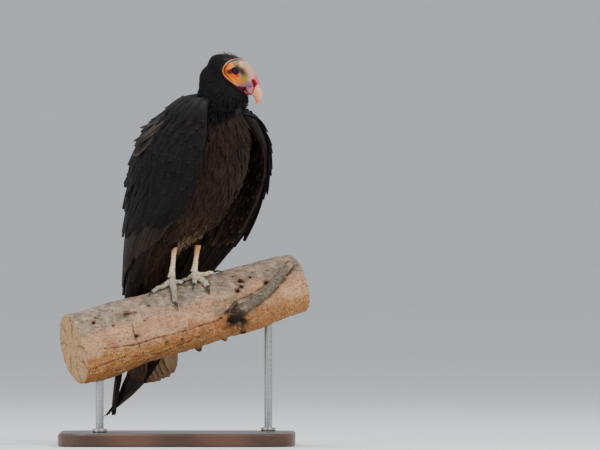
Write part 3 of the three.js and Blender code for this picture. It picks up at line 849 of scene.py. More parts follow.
def head_colours(points, nearest, signed):
    """The bare head's colours: pink crown, olive brow, orange cheeks, crimson nostrils, lilac rim, with
    painted shade in its folds, under the brow and in the gape.
    """
    forward, left, up = points.T
    aside = np.abs(left)
    f = forward + 0.7 * noise_at(points, 3.2, 5.0)
    u = up + 0.7 * noise_at(points, 3.2, 9.0)
    side = smooth(3, 6, aside)
    fine = noise_at(points, 1.1, 2.0)
    eye = np.hypot((forward - EYE_FORWARD) / 1.3, up - EYE_UP)
    layers = [
        ((196, 118, 128), smooth(18, 27, f)),
        ((184, 146, 118), blot(f, u, (16.5, 3.5), (6.5, 7), 0, 0.7) * side),
        ((130, 120, 80), blot(f, u, (-5.5, 7.4), (9.5, 4.6), -6, 0.6)),
        ((196, 176, 122), blot(f, u, (2, 8.6), (5.5, 1.7), -30) * side),
        ((150, 118, 40), blot(f, u, (16.5, -4), (6, 7), 0, 0.7) * side),
        ((218, 112, 0), blot(f, u, (0, -10.4), (17.5, 6.4), -2) * side),
        ((200, 82, 0), blot(f, u, (2.5, -10), (9, 2.8), -5) * side * 0.7),
        ((224, 140, 0), blot(f, u, (10, -7.4), (3.4, 1.6)) * side * 0.8),
        ((200, 34, 0), blot(f, u, (6.6, -4.4), (4.2, 2.2), -8) * side),
        ((224, 124, 0), blot(f, u, (-9.4, -2.0), (4.2, 6.2), -30) * side),
        # painted shade in the fold inside the rim, behind the orange cheek
        ((112, 30, 8), blot(f, u, (-11.4, -6.4), (1.9, 4.2), 14) * side * 0.8),
        ((36, 34, 5), blot(f, u, (9.0, 3.2), (7.2, 4.6), -12, 0.75) * side * 0.94),
        # painted shade: the brow's shadow above the eye, under its ridge
        ((48, 16, 12), blot(f, u, (1.4, 4.0), (4.8, 2.4), 10, 0.7) * side * 0.95),
        # painted shade in the crease that runs from behind the eye down to the rim
        ((44, 4, 20), blot(f, u, (-3.8, -6.3), (6.0, 3.2), 48, 0.7) * side * 0.95),
        ((222, 128, 0), bump(signed - 2.6, 1.4) * smooth(-10, -12, u) * smooth(15, 10, f) * side * 0.9),
        ((116, 90, 106), blot(f, u, (25.5, -6.8), (5.2, 5), -30) * side * 0.9),
        ((140, 76, 94), blot(f, u, (22, -14), (10, 3), -8) * side * 0.9),
        ((204, 88, 112), blot(f, u, (31, 4.2), (8, 2.6), -32)),
        ((190, 40, 62), blot(f, u, (31, -0.4), (7.5, 3.4), -33) * side),
        ((116, 0, 14), blot(f, u, (29.6, 0.6), (4.8, 2.0), -33) * side),
        ((26, 2, 14), smooth(5.0, 4.0, eye) * (aside > 6)),
        # painted shade in the groove just inside the rim fold
        ((52, 5, 20), bump(signed - 1.5, 0.8) * smooth(14, 2, forward) * 0.9),
        # painted shade on the rim fold's outer flank, under the hood
        ((66, 22, 34), smooth(0.3, 0.9, -signed) * smooth(14, 5, forward) * 0.95),
        ((156, 96, 132), bump(nearest, 0.62) * smooth(12, 3, forward)),
        ((204, 116, 16), bump(nearest, 0.7) * smooth(-9, -3, forward) * smooth(18, 12, forward) * 0.85),
        ((74, 14, 18), bump(from_slot(forward, up, MOUTH, 0.03, MOUTH_LENGTH), 0.7)),
        ((56, 18, 20), smooth(-14.8, -16, up) * smooth(12, 17, forward)),
        # painted shadow in the gape under the corner of the upper jaw
        ((22, 8, 10), blot(forward, up, (22.7, -12.4), (2.0, 1.0)) * side),
        ((60, 22, 24), smooth(0.2, 1.2, -signed) * smooth(19, 13, forward)),
        ((16, 12, 13), smooth(1.4, 3.6, -signed) * smooth(17, 11, forward)),
        ((110, 50, 50), smooth(0.55, 0.8, fine) * smooth(8, 13, forward) * smooth(3, 6, up) * 0.5),
    ]
    colours = layered((198, 146, 134), layers)
    return colours * (1 + 0.1 * fine[:, None])


def coat_depth(points):
    """How thick the coat is at each place on the trunk and neck."""
    up = bird.back(points)[:, 2]
    return COAT_DEPTH * smooth(-20, 30, up) * (1 - 0.8 * smooth(246, 282, up)) + 1.0


def make_body_skin():
    """Trunk, neck and thighs in one, drawn in by the depth of the coat."""
    body = smoothed_copy("skin_body", ["trunk", "neck", "thigh_right", "thigh_left"], NECK_GRAIN, 8)
    points = points_of(body)
    forward, _, up = bird.back(points).T
    folds = 0.5 * np.sin(up * 0.95 + 0.05 * forward) * smooth(246, 258, up)
    set_points(body, points + normals_of(body) * (folds - coat_depth(points))[:, None])
    apply_modifier(body, "SMOOTH", factor=0.5, iterations=2)
    paint(body, "paint", np.tile(rgb(34, 27, 25), (len(points), 1)))
    return body


def coat_form():
    """The bird's whole outline, drawn in by the depth of the coat, for the feathers to lie on."""
    nodes = ["trunk", "neck", "head", "thigh_right", "thigh_left"]
    form = smoothed_copy("form", nodes, 2.2, 8)
    points = points_of(form)
    set_points(form, points - normals_of(form) * coat_depth(points)[:, None])
    surface = Surface(form)
    bpy.data.objects.remove(form)
    return surface


def make_leg_skin():
    """Bare shanks and toes, with rows of scutes down the front and fine scales elsewhere."""
    legs = smoothed_copy("skin_legs", ["shank_right", "shank_left", "foot_right", "foot_left"], LEG_GRAIN, 9)
    points = points_of(legs)
    height = points[:, 2] - PERCH_TOP[2]
    scutes = np.abs(np.sin(height * 0.85 + 0.3 * noise_at(points, 4)))
    toe_scutes = np.abs(np.sin(np.hypot(points[:, 0] * 0.9, points[:, 1]) * 1.15))
    rise = 0.3 * scutes * smooth(6, 12, height) + 0.36 * toe_scutes * smooth(12, 7, height)
    rise -= 0.75 * bump(height - 31, 13)
    joints = np.where(height > 9, scutes, toe_scutes)
    left_leg = smooth(-4, 6, points[:, 0] - PERCH_TOP[0])
    rise += 0.22 * noise_at(points, 2.1, 4.0)
    rise += 0.35 * noise_at(points, 6, 8.0)
    set_points(legs, points + normals_of(legs) * rise[:, None])
    wear = noise_at(points, 2.4, 1.0)
    layers = [
        ((212, 196, 170), smooth(2, 16, height)),
        ((226, 192, 156), smooth(18, 32, height)),
        ((206, 112, 70), smooth(34, 52, height + 3 * wear)),
        ((176, 136, 88), smooth(28, 48, height + 3 * wear) * left_leg * 0.8),
        ((120, 62, 44), smooth(56, 66, height)),
        ((128, 110, 92), smooth(0.3, 0.05, joints) * 0.45),
        ((98, 92, 78), smooth(0.0, 0.5, wear) * 0.7 * smooth(34, 10, height)),
        ((96, 84, 76), smooth(-2, -14, height) * 0.5),
    ]
    paint(legs, "paint", layered((178, 170, 150), layers))
    return legs


def skin_material():
    under = {"Subsurface_Weight": 0.03, "Subsurface_Scale": 0.001}
    made = Recipe("skin", Roughness=0.5, Specular_IOR_Level=0.14, **under)
    spot = made.where()
    colour = made.painted()
    speckle = made.clouds(spot, 900, 3)
    mottle = made.clouds(spot, 240, 4)
    colour = made.mix(made.band(speckle, 0.42, 0.7, 0, 0.3), colour, (0.8, 0.66, 0.6), "MULTIPLY")
    colour = made.mix(made.band(mottle, 0.35, 0.7, 0, 0.25), colour, (1.15, 1.0, 0.9), "MULTIPLY")
    pores = made.cells(spot, 1300)
    creases = made.relief(made.clouds(spot, 420, 5), 0.5, 0.0006)
    fine = made.relief(pores, 0.25, 0.0002, creases)
    return made.set(Base_Color=colour, Normal=fine, Roughness=made.band(mottle, 0.3, 0.7, 0.44, 0.62))


head_skin = make_head_skin()
skin = make_body_skin()
leg_skin = make_leg_skin()
head_surface = Surface(head_skin)
body_surface = coat_form()
join(skin, head_skin, leg_skin)
skin.name = "skin"
soft_shade(skin)
limbs = [f"{limb}_{side}" for limb in ("thigh", "shank", "foot") for side in SIDES]
finish_piece(skin, "face_skin", skin_material(), "head", "neck", "trunk", *limbs)


# ------------------------------------------------------------------ eyes, bill and claws


def eye_material():
    """Dark purple-brown iris round a black pupil. The ring value runs from the pupil outwards."""
    made = Recipe("eye", Roughness=0.2, Coat_Weight=0.04, Coat_Roughness=0.08, Specular_IOR_Level=0.2)
    ring = made.marked("ring")
    rays = made.clouds(made.where(), 1500, 3)
    iris = made.mix(made.band(rays, 0.3, 0.7), rgb(28, 2, 32), rgb(50, 7, 46))
    colour = made.mix(made.band(ring, 0.2, 0.3), rgb(8, 2, 12), iris)
    colour = made.mix(made.band(ring, 0.52, 0.62), colour, rgb(22, 8, 18))
    return made.set(Base_Color=colour)


def make_eye(name):
    side = SIDES[name]
    centre = skull.at(EYE_FORWARD, side * EYE_ASIDE, EYE_UP)
    deselect()
    bpy.ops.mesh.primitive_uv_sphere_add(segments=48, ring_count=32, radius=EYE_RADIUS * MM)
    eye = bpy.context.object
    eye.name = f"eyeball_{name}"
    points = points_of(eye)
    away = points[:, 2] / EYE_RADIUS
    bulge = 1 + 0.06 * smooth(0.78, 1, away)
    turned = np.stack([points[:, 0], side * points[:, 2], points[:, 1] * side], 1) * bulge[:, None]
    set_points(eye, centre + turned @ skull.axes.T)
    activate(eye)
    edit_whole(bpy.ops.mesh.normals_make_consistent, inside=False)
    mark(eye, "ring", np.arccos(np.clip(away, -1, 1)))
    soft_shade(eye)
    return eye


eye_finish = eye_material()
for side in SIDES:
    finish_piece(make_eye(side), "eye", eye_finish, f"eye_{side}")


def horn_material(name, pale, dark):
    made = Recipe(name, Roughness=0.4, Specular_IOR_Level=0.3, Coat_Weight=0.05, Coat_Roughness=0.25)
    grain = made.clouds(made.where(), 260, 5)
    colour = made.mix(made.band(grain, 0.35, 0.7, 0, 0.45), made.painted(), pale, "MULTIPLY")
    scratches = made.clouds(made.where((1, 1, 0.25)), 900, 3)
    colour = made.mix(made.band(scratches, 0.5, 0.75, 0, 0.35), colour, dark)
    return made.set(Base_Color=colour, Normal=made.relief(grain, 0.25, 0.0004))


def make_bill(node, base):
    bill = smoothed_copy(f"horn_{node}", [node], HORN_GRAIN, 3)
    points = points_of(bill)
    forward, _, up = skull.back(points).T
    growth = 0.1 * np.sin(forward * 2.1 + up * 0.6) + 0.12 * noise_at(points, 3)
    grown = lip_drop(skull.back(points + normals_of(bill) * growth[:, None]))
    if node == "bill_lower":
        grown[:, 0] -= 0.42 * np.maximum(grown[:, 0] - 24, 0)
        grown[:, 2] += 1.3
    set_points(bill, skull.at(*grown.T))
    wander = noise_at(points, 3.5, 6)
    layers = [
        ((228, 160, 136), smooth(-8, -3, up + 0.9 * (forward - 40))),
        ((214, 150, 86), blot(forward, up, (38.5, -10.5), (3.6, 3.8)) * (0.6 + 0.4 * wander)),
        ((218, 126, 80), smooth(-11, -18, up)),
        ((232, 168, 124), smooth(-20, -23, up)),
        ((206, 92, 92), smooth(36.5, 33.5, forward)),
        ((120, 50, 46), smooth(-13.6, -14.6, up) * smooth(41, 37, forward) * 0.85),
    ]
    paint(bill, "paint", layered(base, layers if node == "bill_upper" else layers[-1:]))
    soft_shade(bill)
    return bill


bill_finish = horn_material("bill_horn", (0.86, 0.74, 0.66), rgb(176, 112, 92))
finish_piece(make_bill("bill_upper", (220, 142, 108)), "horn", bill_finish, "bill_upper")
# the lower bill's dark maroon is painted shade: it lies in the shadow of the upper bill
finish_piece(make_bill("bill_lower", (78, 22, 28)), "horn", bill_finish, "bill_lower")


claw_finish = horn_material("claw_horn", (0.8, 0.75, 0.7), rgb(24, 20, 20))
for side in SIDES:
    claws = [f"claw_{side}_{toe}" for toe in ("inner", "middle", "outer", "hind")]
    piece = smoothed_copy(f"claws_{side}", claws, HORN_GRAIN, 2)
    streak = noise_at(points_of(piece) * (1, 1, 0.5), 2.4, 3)
    paint(piece, "paint", layered((44, 38, 36), [((104, 90, 80), smooth(0, 0.7, streak))]))
    soft_shade(piece)
    finish_piece(piece, "claw_horn", claw_finish, *claws)


# ------------------------------------------------------------------ perch and stand
YAW = math.radians(PERCH_YAW)
RISE = math.radians(PERCH_RISE)
GRAIN = unit(np.array([math.cos(YAW) * math.cos(RISE), math.sin(YAW) * math.cos(RISE), math.sin(RISE)]))
PERCH_FRONT = unit(np.cross(GRAIN, (0, 0, 1)))
PERCH_UP = np.cross(PERCH_FRONT, GRAIN)
PERCH_AXIS = np.array(PERCH_TOP) - PERCH_RADIUS * PERCH_UP
PERCH_ENDS = 140  # along it, past which a face can be a sawn end
BORINGS = [  # along the branch, degrees round it from the top, radius, depth
    (-103, 46, 3.6, 3.0), (-96, 48, 1.9, 2.4), (-90, 49, 1.6, 2.0), (-68, 43, 1.8, 2.4),
    (-152, 48, 2.2, 2.6), (-146, 40, 1.2, 1.8), (-128, 62, 1.3, 1.8), (-118, 30, 1.2, 1.6),
    (-84, 70, 1.1, 1.5), (-102, 92, 2.6, 2.6), (-97, 125, 2.2, 2.2), (-60, 118, 1.9, 2.2),
    (-36, 122, 1.6, 2.0), (-12, 130, 2.0, 2.4), (23, 106, 2.4, 2.8), (44, 117, 8.5, 7.0),
    (54, 130, 8.0, 6.5), (33, 98, 3.0, 3.0), (69, 50, 4.2, 2.6), (58, 66, 3.2, 2.6), (66, 60, 2.8, 2.4),
    (92, 34, 1.6, 1.8), (84, 46, 2.0, 1.8), (101, 66, 3.0, 2.0), (112, 40, 1.5, 1.8), (62, 34, 1.4, 1.6),
    (36, 76, 1.4, 1.6), (30, 128, 1.8, 2.0), (-130, 150, 2.4, 2.4), (-70, 190, 2.6, 2.6),
    (10, 200, 3.0, 3.0), (90, 215, 2.6, 2.4), (-120, 250, 2.2, 2.2), (-30, 270, 1.8, 2.0),
    (40, 300, 2.2, 2.2), (100, 290, 1.8, 2.0),
]
SNAGS = [  # splintered knobs under the branch: along it, degrees round it, height
    (-6.5, 166, 7.5), (33, 164, 6.0), (58, 150, 5.0),
]
CRACKS = [  # each one a line of (along, degrees round) places
    [(22, 107), (-14, 107), (-45, 108), (-78, 104), (-107, 105), (-150, 97)],
    [(-102, 70), (-104, 84), (-103, 97), (-100, 112)],
    [(-170, 128), (-120, 122), (-70, 138), (-20, 134)],
    [(-160, 230), (-60, 222), (40, 236), (120, 228)],
    [(-120, 320), (-40, 312), (50, 322)],
]
TWIG = [  # a side twig's stub lying along the branch: along it, degrees round it, height over the bark
    (46, 106, -9), (57, 98, 0), (71, 93, 3.5), (88, 86, 5), (106, 76, 5.5), (124, 63, 6.5),
    (143, 50, 8.5),
]
TWIG_RADIUS = [12, 9, 7.7, 7.1, 6.7, 6.5, 6.2]
TWIG_REACH = 90  # no part of the twig lies further than this from its middle
FAR = 99.0


def perch_places(points):
    """Along the branch and degrees round it from the top, for each point."""
    out = points - PERCH_AXIS
    along = out @ GRAIN
    around = np.degrees(np.arctan2(out @ PERCH_FRONT, out @ PERCH_UP)) % 360
    return along, around


def bark_radius(along, around):
    away = np.clip((np.abs(along) - 45) / 60, 0, 1)
    lumps = 2.4 * np.sin(along / 31 + 2 * around) + 1.6 * np.sin(along / 17 - around * 3)
    return PERCH_RADIUS - along * 0.012 + away * lumps


def from_twig(points):
    """How far each point is from the twig's skin, and how far along the twig it is."""
    along, degrees, height = np.array(TWIG, float).T
    around = np.radians(degrees)
    out = (bark_radius(along, around) + height)[:, None]
    line = PERCH_AXIS + along[:, None] * GRAIN
    line = line + out * (np.cos(around)[:, None] * PERCH_UP + np.sin(around)[:, None] * PERCH_FRONT)
    level = np.linspace(0, 1, 90)
    samples = spline(line)(level)
    radius = np.interp(level, np.linspace(0, 1, len(TWIG)), TWIG_RADIUS)
    gap = np.full(len(points), FAR)
    place = np.zeros(len(points))
    near = np.flatnonzero(np.linalg.norm(points - samples[len(samples) // 2], axis=1) < TWIG_REACH)
    for start in range(0, len(near), CHUNK):
        part = near[start : start + CHUNK]
        over = np.linalg.norm(points[part][:, None] - samples[None], axis=2) - radius
        gap[part] = over.min(axis=1)
        place[part] = level[over.argmin(axis=1)]
    return gap, place


def wrapped(degrees):
    return (degrees + 180) % 360 - 180


def round_the_branch(around, angle):
    """Millimetres round the branch's skin from an angle."""
    return np.radians(wrapped(around - angle)) * PERCH_RADIUS


def bored(points, along, around, bare):
    """The insect borings: how much they lower the bark, the pits themselves and the scars round them."""
    fall = np.zeros(len(points))
    holes = np.zeros(len(points))
    scars = np.zeros(len(points))
    for place, angle, radius, depth in BORINGS:
        across = round_the_branch(around, angle)
        gap = np.hypot((along - place) / 1.25, across) + 0.35 * radius * noise_at(points, radius, place)
        pit = smooth(radius * 1.15, radius * 0.55, gap) * bare
        fall += depth * pit - 0.35 * bump(gap - radius * 1.5, radius * 0.5) * bare
        holes = np.maximum(holes, pit)
        scars = np.maximum(scars, smooth(radius * 2.8, radius, gap) * bare)
    return fall, holes, scars


def cracked(points, along, around, bare):
    """The drying cracks: 1 at the bottom of each and 0 away from them. A short one runs round the branch."""
    fall = np.zeros(len(points))
    splits = np.zeros(len(points))
    for line in CRACKS:
        places, angles = np.array(line, float).T
        if abs(places[0] - places[-1]) < 12:
            gap = np.abs(along - np.interp(around, angles, places)) + 0.5 * noise_at(points, 3)
            inside = (around > angles.min()) & (around < angles.max())
        else:
            order = np.argsort(places)
            middle = np.interp(along, places[order], angles[order])
            gap = np.abs(round_the_branch(around, middle)) + 0.9 * noise_at(points, 7, 5.0)
            inside = (along > places.min()) & (along < places.max())
        split = smooth(1.6, 0.2, np.abs(gap)) * inside * bare
        fall += 1.2 * split
        splits = np.maximum(splits, split)
    return fall, splits


def make_perch():
    """The branch: borings, drying cracks, long grain and a ragged underside on the plain CAD limb."""
    perch = smoothed_copy("branch", ["perch"], BARK_GRAIN, 4)
    points, normals = points_of(perch), normals_of(perch)
    along, around = perch_places(points)
    out = points - PERCH_AXIS
    reach = np.linalg.norm(out - (out @ GRAIN)[:, None] * GRAIN, axis=1)
    gap_twig, twig_place = from_twig(points)
    twig = smooth(1.6, 0.6, gap_twig)
    crevice = bump(gap_twig - 2.6, 1.5) * (1 - twig)
    end = smooth(0.7, 0.95, np.abs(normals @ GRAIN)) * (np.abs(along) > PERCH_ENDS)
    bare = (1 - end) * (1 - twig)
    grain_space = np.stack([along / 9, out @ PERCH_FRONT, out @ PERCH_UP], 1)
    quiet = 1 - 0.75 * smooth(70, 40, np.abs(along)) * smooth(75, 45, np.abs(wrapped(around)))
    rise = 0.9 * noise_at(points, 26, 1.0) * quiet
    rise += 0.55 * noise_at(grain_space, 3.2, 2.0) * bare * (0.35 + 0.65 * quiet)
    rise += 0.28 * noise_at(grain_space, 1.3, 7.0) * bare
    rough = smooth(95, 125, around) * smooth(265, 235, around)
    rise += rough * bare * (0.9 * noise_at(points, 5, 3.0) + 0.5 * noise_at(points, 2.4, 4.0))
    rise -= 1.3 * crevice
    rise += twig * (0.5 * noise_at(points, 3.2, 2.0) + 0.35 * noise_at(points, 1.5, 5.0))
    fall, holes, scars = bored(points, along, around, bare)
    rise -= fall
    snag = np.zeros(len(points))
    for place, angle, height in SNAGS:
        gap = np.hypot(along - place, round_the_branch(around, angle))
        rise += height * smooth(6.0, 0.6, gap + 2.6 * noise_at(points, 2.6, 6.0))
        snag = np.maximum(snag, smooth(6.0, 3.0, gap))
    fall, splits = cracked(points, along, around, bare)
    rise -= fall
    rings = np.sin(reach * 2.0 + 2 * noise_at(points, 14))
    spokes = np.abs(np.sin(np.radians(around) * 3.5 + noise_at(points, 20)))
    checks = smooth(0.975, 1.0, spokes) * smooth(8, 26, reach)
    rise += end * (0.16 * rings - 0.6 * checks)
    set_points(perch, points + normals * rise[:, None])
    flecks = noise_at(points, 2.0, 5.5)
    # painted shadow in the hollow by the twig's foot and in the large pits beside it
    hollow_shade = blot(along, around, (43, 119), (13, 13), 0, 0.6)
    hollow_shade = np.maximum(hollow_shade, blot(along, around, (54, 130), (8, 14), 0, 0.6))
    shade = perch_colours(points, along, around, end, (scars, holes), splits, rings, checks)
    bark = [
        ((112, 102, 90), twig),
        ((68, 58, 50), twig * smooth(0.1, 0.5, flecks) * 0.8),
        ((138, 124, 104), twig * smooth(0.1, 0.5, -flecks) * 0.6),
        ((150, 120, 88), twig * smooth(0.985, 1.0, twig_place)),
        # painted shade in the crevice round the twig
        ((52, 38, 28), crevice * 0.9),
        # painted shadow in the hollow
        ((38, 24, 17), hollow_shade * 0.92),
        ((48, 32, 24), snag * 0.9),
        # painted shadow on the twig's foot, where it sinks into the hollow
        ((40, 28, 20), twig * smooth(0.24, 0.06, twig_place) * 0.9),
    ]
    paint(perch, "paint", layered((142, 130, 116), shade + bark))
    rough = rough * (1 - np.maximum(hollow_shade, snag))
    mark(perch, "rough", rough * bare * (0.45 + 0.55 * smooth(-0.3, 0.3, noise_at(points, 12, 9.0))))
    soft_shade(perch)
    return perch


def perch_colours(points, along, around, end, pits, splits, rings, checks):
    """Weathered grey on top, warm tan on the flanks, orange underneath with painted warm bounced light,
    painted shade in holes and cracks.
    """
    scars, holes = pits
    patches = noise_at(points, 22, 4.4)
    blotches = noise_at(points, 9, 6.0)
    flecks = noise_at(points, 2.6, 3.3)
    low = np.abs(wrapped(around))
    return [
        ((182, 140, 108), smooth(50, 76, low + 12 * patches)),
        ((204, 160, 122), smooth(-0.1, 0.5, patches) * smooth(40, 90, low) * 0.8),
        # orange underneath: the wood's tan with painted warm light bounced up under the branch
        ((176, 114, 62), smooth(98, 124, low + 14 * blotches)),
        ((112, 68, 38), smooth(0.1, 0.6, blotches) * smooth(100, 125, low) * 0.85),
        ((116, 105, 88), smooth(0.0, 0.4, blotches) * smooth(74, 48, low) * 0.85),
        ((190, 150, 118), smooth(0.05, 0.45, -blotches) * smooth(85, 35, low) * 0.65),
        ((118, 110, 92), blot(along, around, (36, 84), (26, 20)) * (0.55 + 0.45 * blotches)),
        ((176, 92, 46), blot(along, around, (28, 116), (22, 14)) * 0.8),
        # orange towards the underside: painted warm bounced light over the wood
        ((170, 92, 52), smooth(0.3, 0.6, noise_at(points, 14, 8.0)) * smooth(60, 95, low) * 0.5),
        ((66, 50, 40), smooth(0.34, 0.66, flecks) * 0.7),
        ((196, 158, 112), end),
        ((140, 100, 64), end * smooth(-0.2, 0.8, rings) * 0.55),
        # painted shade in the checks of the sawn ends
        ((84, 60, 42), end * checks * 0.7),
        ((122, 82, 54), smooth(0.1, 0.9, scars) * (0.45 + 0.4 * flecks)),
        # painted shade darkening into each boring
        ((84, 50, 32), smooth(0.05, 0.5, holes)),
        ((24, 16, 13), smooth(0.35, 0.9, holes)),
        # painted shade in the drying cracks
        ((50, 33, 25), smooth(0.15, 0.8, splits) * 0.9),
    ]


def bark_material():
    made = Recipe("bare_branch", Roughness=0.82, Specular_IOR_Level=0.2)
    along_branch = (0, RISE, -YAW)
    grain = made.clouds(made.where((0.12, 1, 1), along_branch), 420, 6, 0.65)
    speck = made.clouds(made.where(), 520, 4)
    pale = made.clouds(made.where(), 95, 5)
    colour = made.mix(made.band(grain, 0.38, 0.64, 0, 0.7), made.painted(), (0.55, 0.48, 0.44), "MULTIPLY")
    colour = made.mix(made.band(speck, 0.54, 0.66, 0, 0.6), colour, rgb(78, 58, 44))
    colour = made.mix(made.band(pale, 0.5, 0.72, 0, 0.35), colour, rgb(222, 186, 150))
    pits = made.band(made.cells(made.where(), 240), 0.26, 0.16)
    pitted = made.times(pits, made.band(made.clouds(made.where(), 40, 3), 0.46, 0.6))
    colour = made.mix(made.times(pitted, 0.8), colour, rgb(48, 34, 26))
    grit = made.clouds(made.where(), 700, 3)
    gritty = made.mix(made.band(grit, 0.42, 0.6), rgb(82, 50, 28), rgb(218, 166, 104))
    colour = made.mix(made.times(made.marked("rough"), 0.65), colour, gritty)
    height = made.plus(made.times(grain, 0.7), made.times(speck, 0.3))
    return made.set(Base_Color=colour, Normal=made.relief(height, 0.7, 0.0014))


finish_piece(make_perch(), "bark", bark_material(), "perch")


def stained_wood():
    varnish = {"Coat_Weight": 0.25, "Coat_Roughness": 0.2}
    made = Recipe("walnut_base", Roughness=0.36, Specular_IOR_Level=0.45, **varnish)
    swirl = made.where((0.5, 4.5, 4.5))
    waves = {"Vector": swirl, "Scale": 5.0, "Distortion": 2.2, "Detail": 2.0}
    rings = made.node("ShaderNodeTexWave", waves).outputs["Fac"]
    grain = made.plus(made.times(rings, 0.6), made.times(made.clouds(swirl, 6, 3), 0.4))
    colour = made.mix(made.band(grain, 0.2, 0.85), rgb(64, 40, 26), rgb(88, 57, 38))
    pores = made.clouds(made.where((8, 90, 90)), 22, 3)
    colour = made.mix(made.band(pores, 0.58, 0.68, 0, 0.6), colour, rgb(34, 20, 14))
    return made.set(Base_Color=colour, Normal=made.relief(pores, 0.2, 0.0003))


def brushed_steel():
    made = Recipe("brushed_steel", Metallic=1.0, Roughness=0.32)
    lines = made.clouds(made.where((1, 1, 6)), 90, 4)
    colour = made.mix(made.band(lines, 0.3, 0.7), rgb(164, 164, 162), rgb(184, 184, 182))
    rough = made.band(lines, 0.3, 0.7, 0.26, 0.38)
    return made.set(Base_Color=colour, Roughness=rough, Normal=made.relief(lines, 0.04, 0.0001))


def assign(node, material):
    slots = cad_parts[node].data.materials
    slots.clear()
    slots.append(material)


steel = brushed_steel()
assign("stand_base", stained_wood())
assign("stand_rod_1", steel)
assign("stand_rod_2", steel)


def add_collar(x, y, bottom, name):
    """A small turned ring where a rod meets the base."""
    deselect()
    bpy.ops.mesh.primitive_cylinder_add(vertices=64, radius=10 * MM, depth=5 * MM, end_fill_type="NGON")
    collar = bpy.context.object
    collar.name = name
    edit_whole(bpy.ops.transform.translate, value=(x * MM, y * MM, (bottom + 2.5) * MM))
    apply_modifier(collar, "BEVEL", width=1.4 * MM, segments=4, limit_method="ANGLE")
    bpy.ops.object.shade_smooth_by_angle(angle=math.radians(35))
    finish_piece(collar, "stand_steel", steel)


for number in (1, 2):
    low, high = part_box(f"stand_rod_{number}")
    middle = (low + high) / 2 / MM
    add_collar(middle.x, middle.y, BASE_TOP, f"rod_collar_{number}")


# ------------------------------------------------------------------ the coat
MAP_EDGE = 0.004
MAP_ROOM = 0.992
LATE_RISE = 1.3  # over 1, so that a feather stands off the body mostly near its tip
TONE_SPREAD = 0.22
HOOD = "hood_feathers"
COAT = "breast_feathers"
HEELS = np.array([(-3, 17, 277), (28, 28, 273)])


def body_lie(points):
    """Which way the feathers point: down and back on the trunk, back off the face on the hood."""
    up = bird.back(points)[:, 2]
    high = smooth(262, 292, up)[:, None]
    low = bird.along(-0.42, 0, -0.9)
    low = low + 0.25 * bird.along(-1, 0, 0) * smooth(120, 60, up)[:, None]
    return low * (1 - high) + skull.along(-0.8, 0, -0.6) * high


def along_surface(ways, out):
    """The ways a feather can point, turned to lie along the surface."""
    return unit(ways - (ways * out).sum(1, keepdims=True) * out)


def lay_on_body(surface, shape, faces, length, width, height, spread):
    """Vertices of feathers rooted on the faces, each row of points a step further along the coat's lie."""
    place, out = surface.centres[faces], surface.outward[faces]
    points = np.empty((len(faces), len(shape.x), 3))
    heading = along_surface(body_lie(place), out)
    turn = spread * chance.standard_normal(len(faces))[:, None]
    heading = unit(heading * np.cos(turn) + np.cross(out, heading) * np.sin(turn))
    step = (length / shape.rows)[:, None]
    wide = width[:, None, None]
    for row, level in enumerate(np.linspace(0, 1, shape.rows + 1)):
        if row:
            place, out = surface.nearest(place + heading * step)
            heading = along_surface(heading, out)
        across = np.cross(heading, out)
        mine = shape.row == row
        x, z = shape.x[mine][None, :, None], shape.z[mine][None, :, None]
        centre = (place + out * height(level)[:, None])[:, None]
        points[:, mine] = centre + across[:, None] * x * wide + out[:, None] * z * wide
    return points


def stretched(places):
    """The places spread over the whole map, but for a narrow edge."""
    low, high = places.min(axis=0), places.max(axis=0)
    return MAP_EDGE + MAP_ROOM * (places - low) / np.maximum(high - low, 1e-6)


def round_patches(points):
    """Where each root lies on the map: opened out round an upright line, 0 to 1 both ways."""
    forward, aside, up = bird.back(points).T
    middle = np.interp(up, (-20, 60, 184, 260, 310), (-60, -30, 30, 66, 80))
    around = np.arctan2(aside, forward - middle) / (2 * math.pi) + 0.5
    return stretched(np.stack([around, up], 1))


def grow(name, slot, surface, chosen, shape, size, spacing, plumage, tones, spread, shaggy=0.2, share=None):
    """Feathers of one kind on the chosen faces.

    size is their length, their width and how high they stand at root and tip. share makes them stand lower.
    """
    faces = surface.scatter(chosen, spacing)
    roots = surface.centres[faces]
    length, width, low, high = size
    vary = 1 + shaggy * chance.uniform(-1, 1, len(faces))
    stand = chance.uniform(0.75, 1.25, len(faces))
    if share:
        stand = stand * share(roots)

    def height(level):
        return (low + (high - low) * level**LATE_RISE) * stand

    points = lay_on_body(surface, shape, faces, length * vary, width * vary, height, spread)
    shade = np.clip(tones(roots) + TONE_SPREAD * chance.standard_normal(len(faces)), 0, 1)
    obj = joined_copies(name, shape, points, shade, round_patches(roots), SPECK)
    finish_piece(obj, slot, finishes[plumage])


def even(tone):
    """The same tone everywhere."""
    return lambda roots: np.full(len(roots), tone)


def fading(tone, start, reach):
    """The tone at the start height, paler towards the feet by one over each reach."""
    return lambda roots: tone - (bird.back(roots)[:, 2] - start) / reach


def depth_share(roots):
    return coat_depth(roots) / (COAT_DEPTH + 1.0)


def between_legs(points):
    """How near each point is to the front of the belly, above and between the legs."""
    forward, aside, up = bird.back(points).T
    return bump(aside - 12, 15) * bump(up - 60, 24) * smooth(-20, 0, forward)


finishes = {name: feather_material(name, *spec) for name, spec in PLUMAGE.items()}

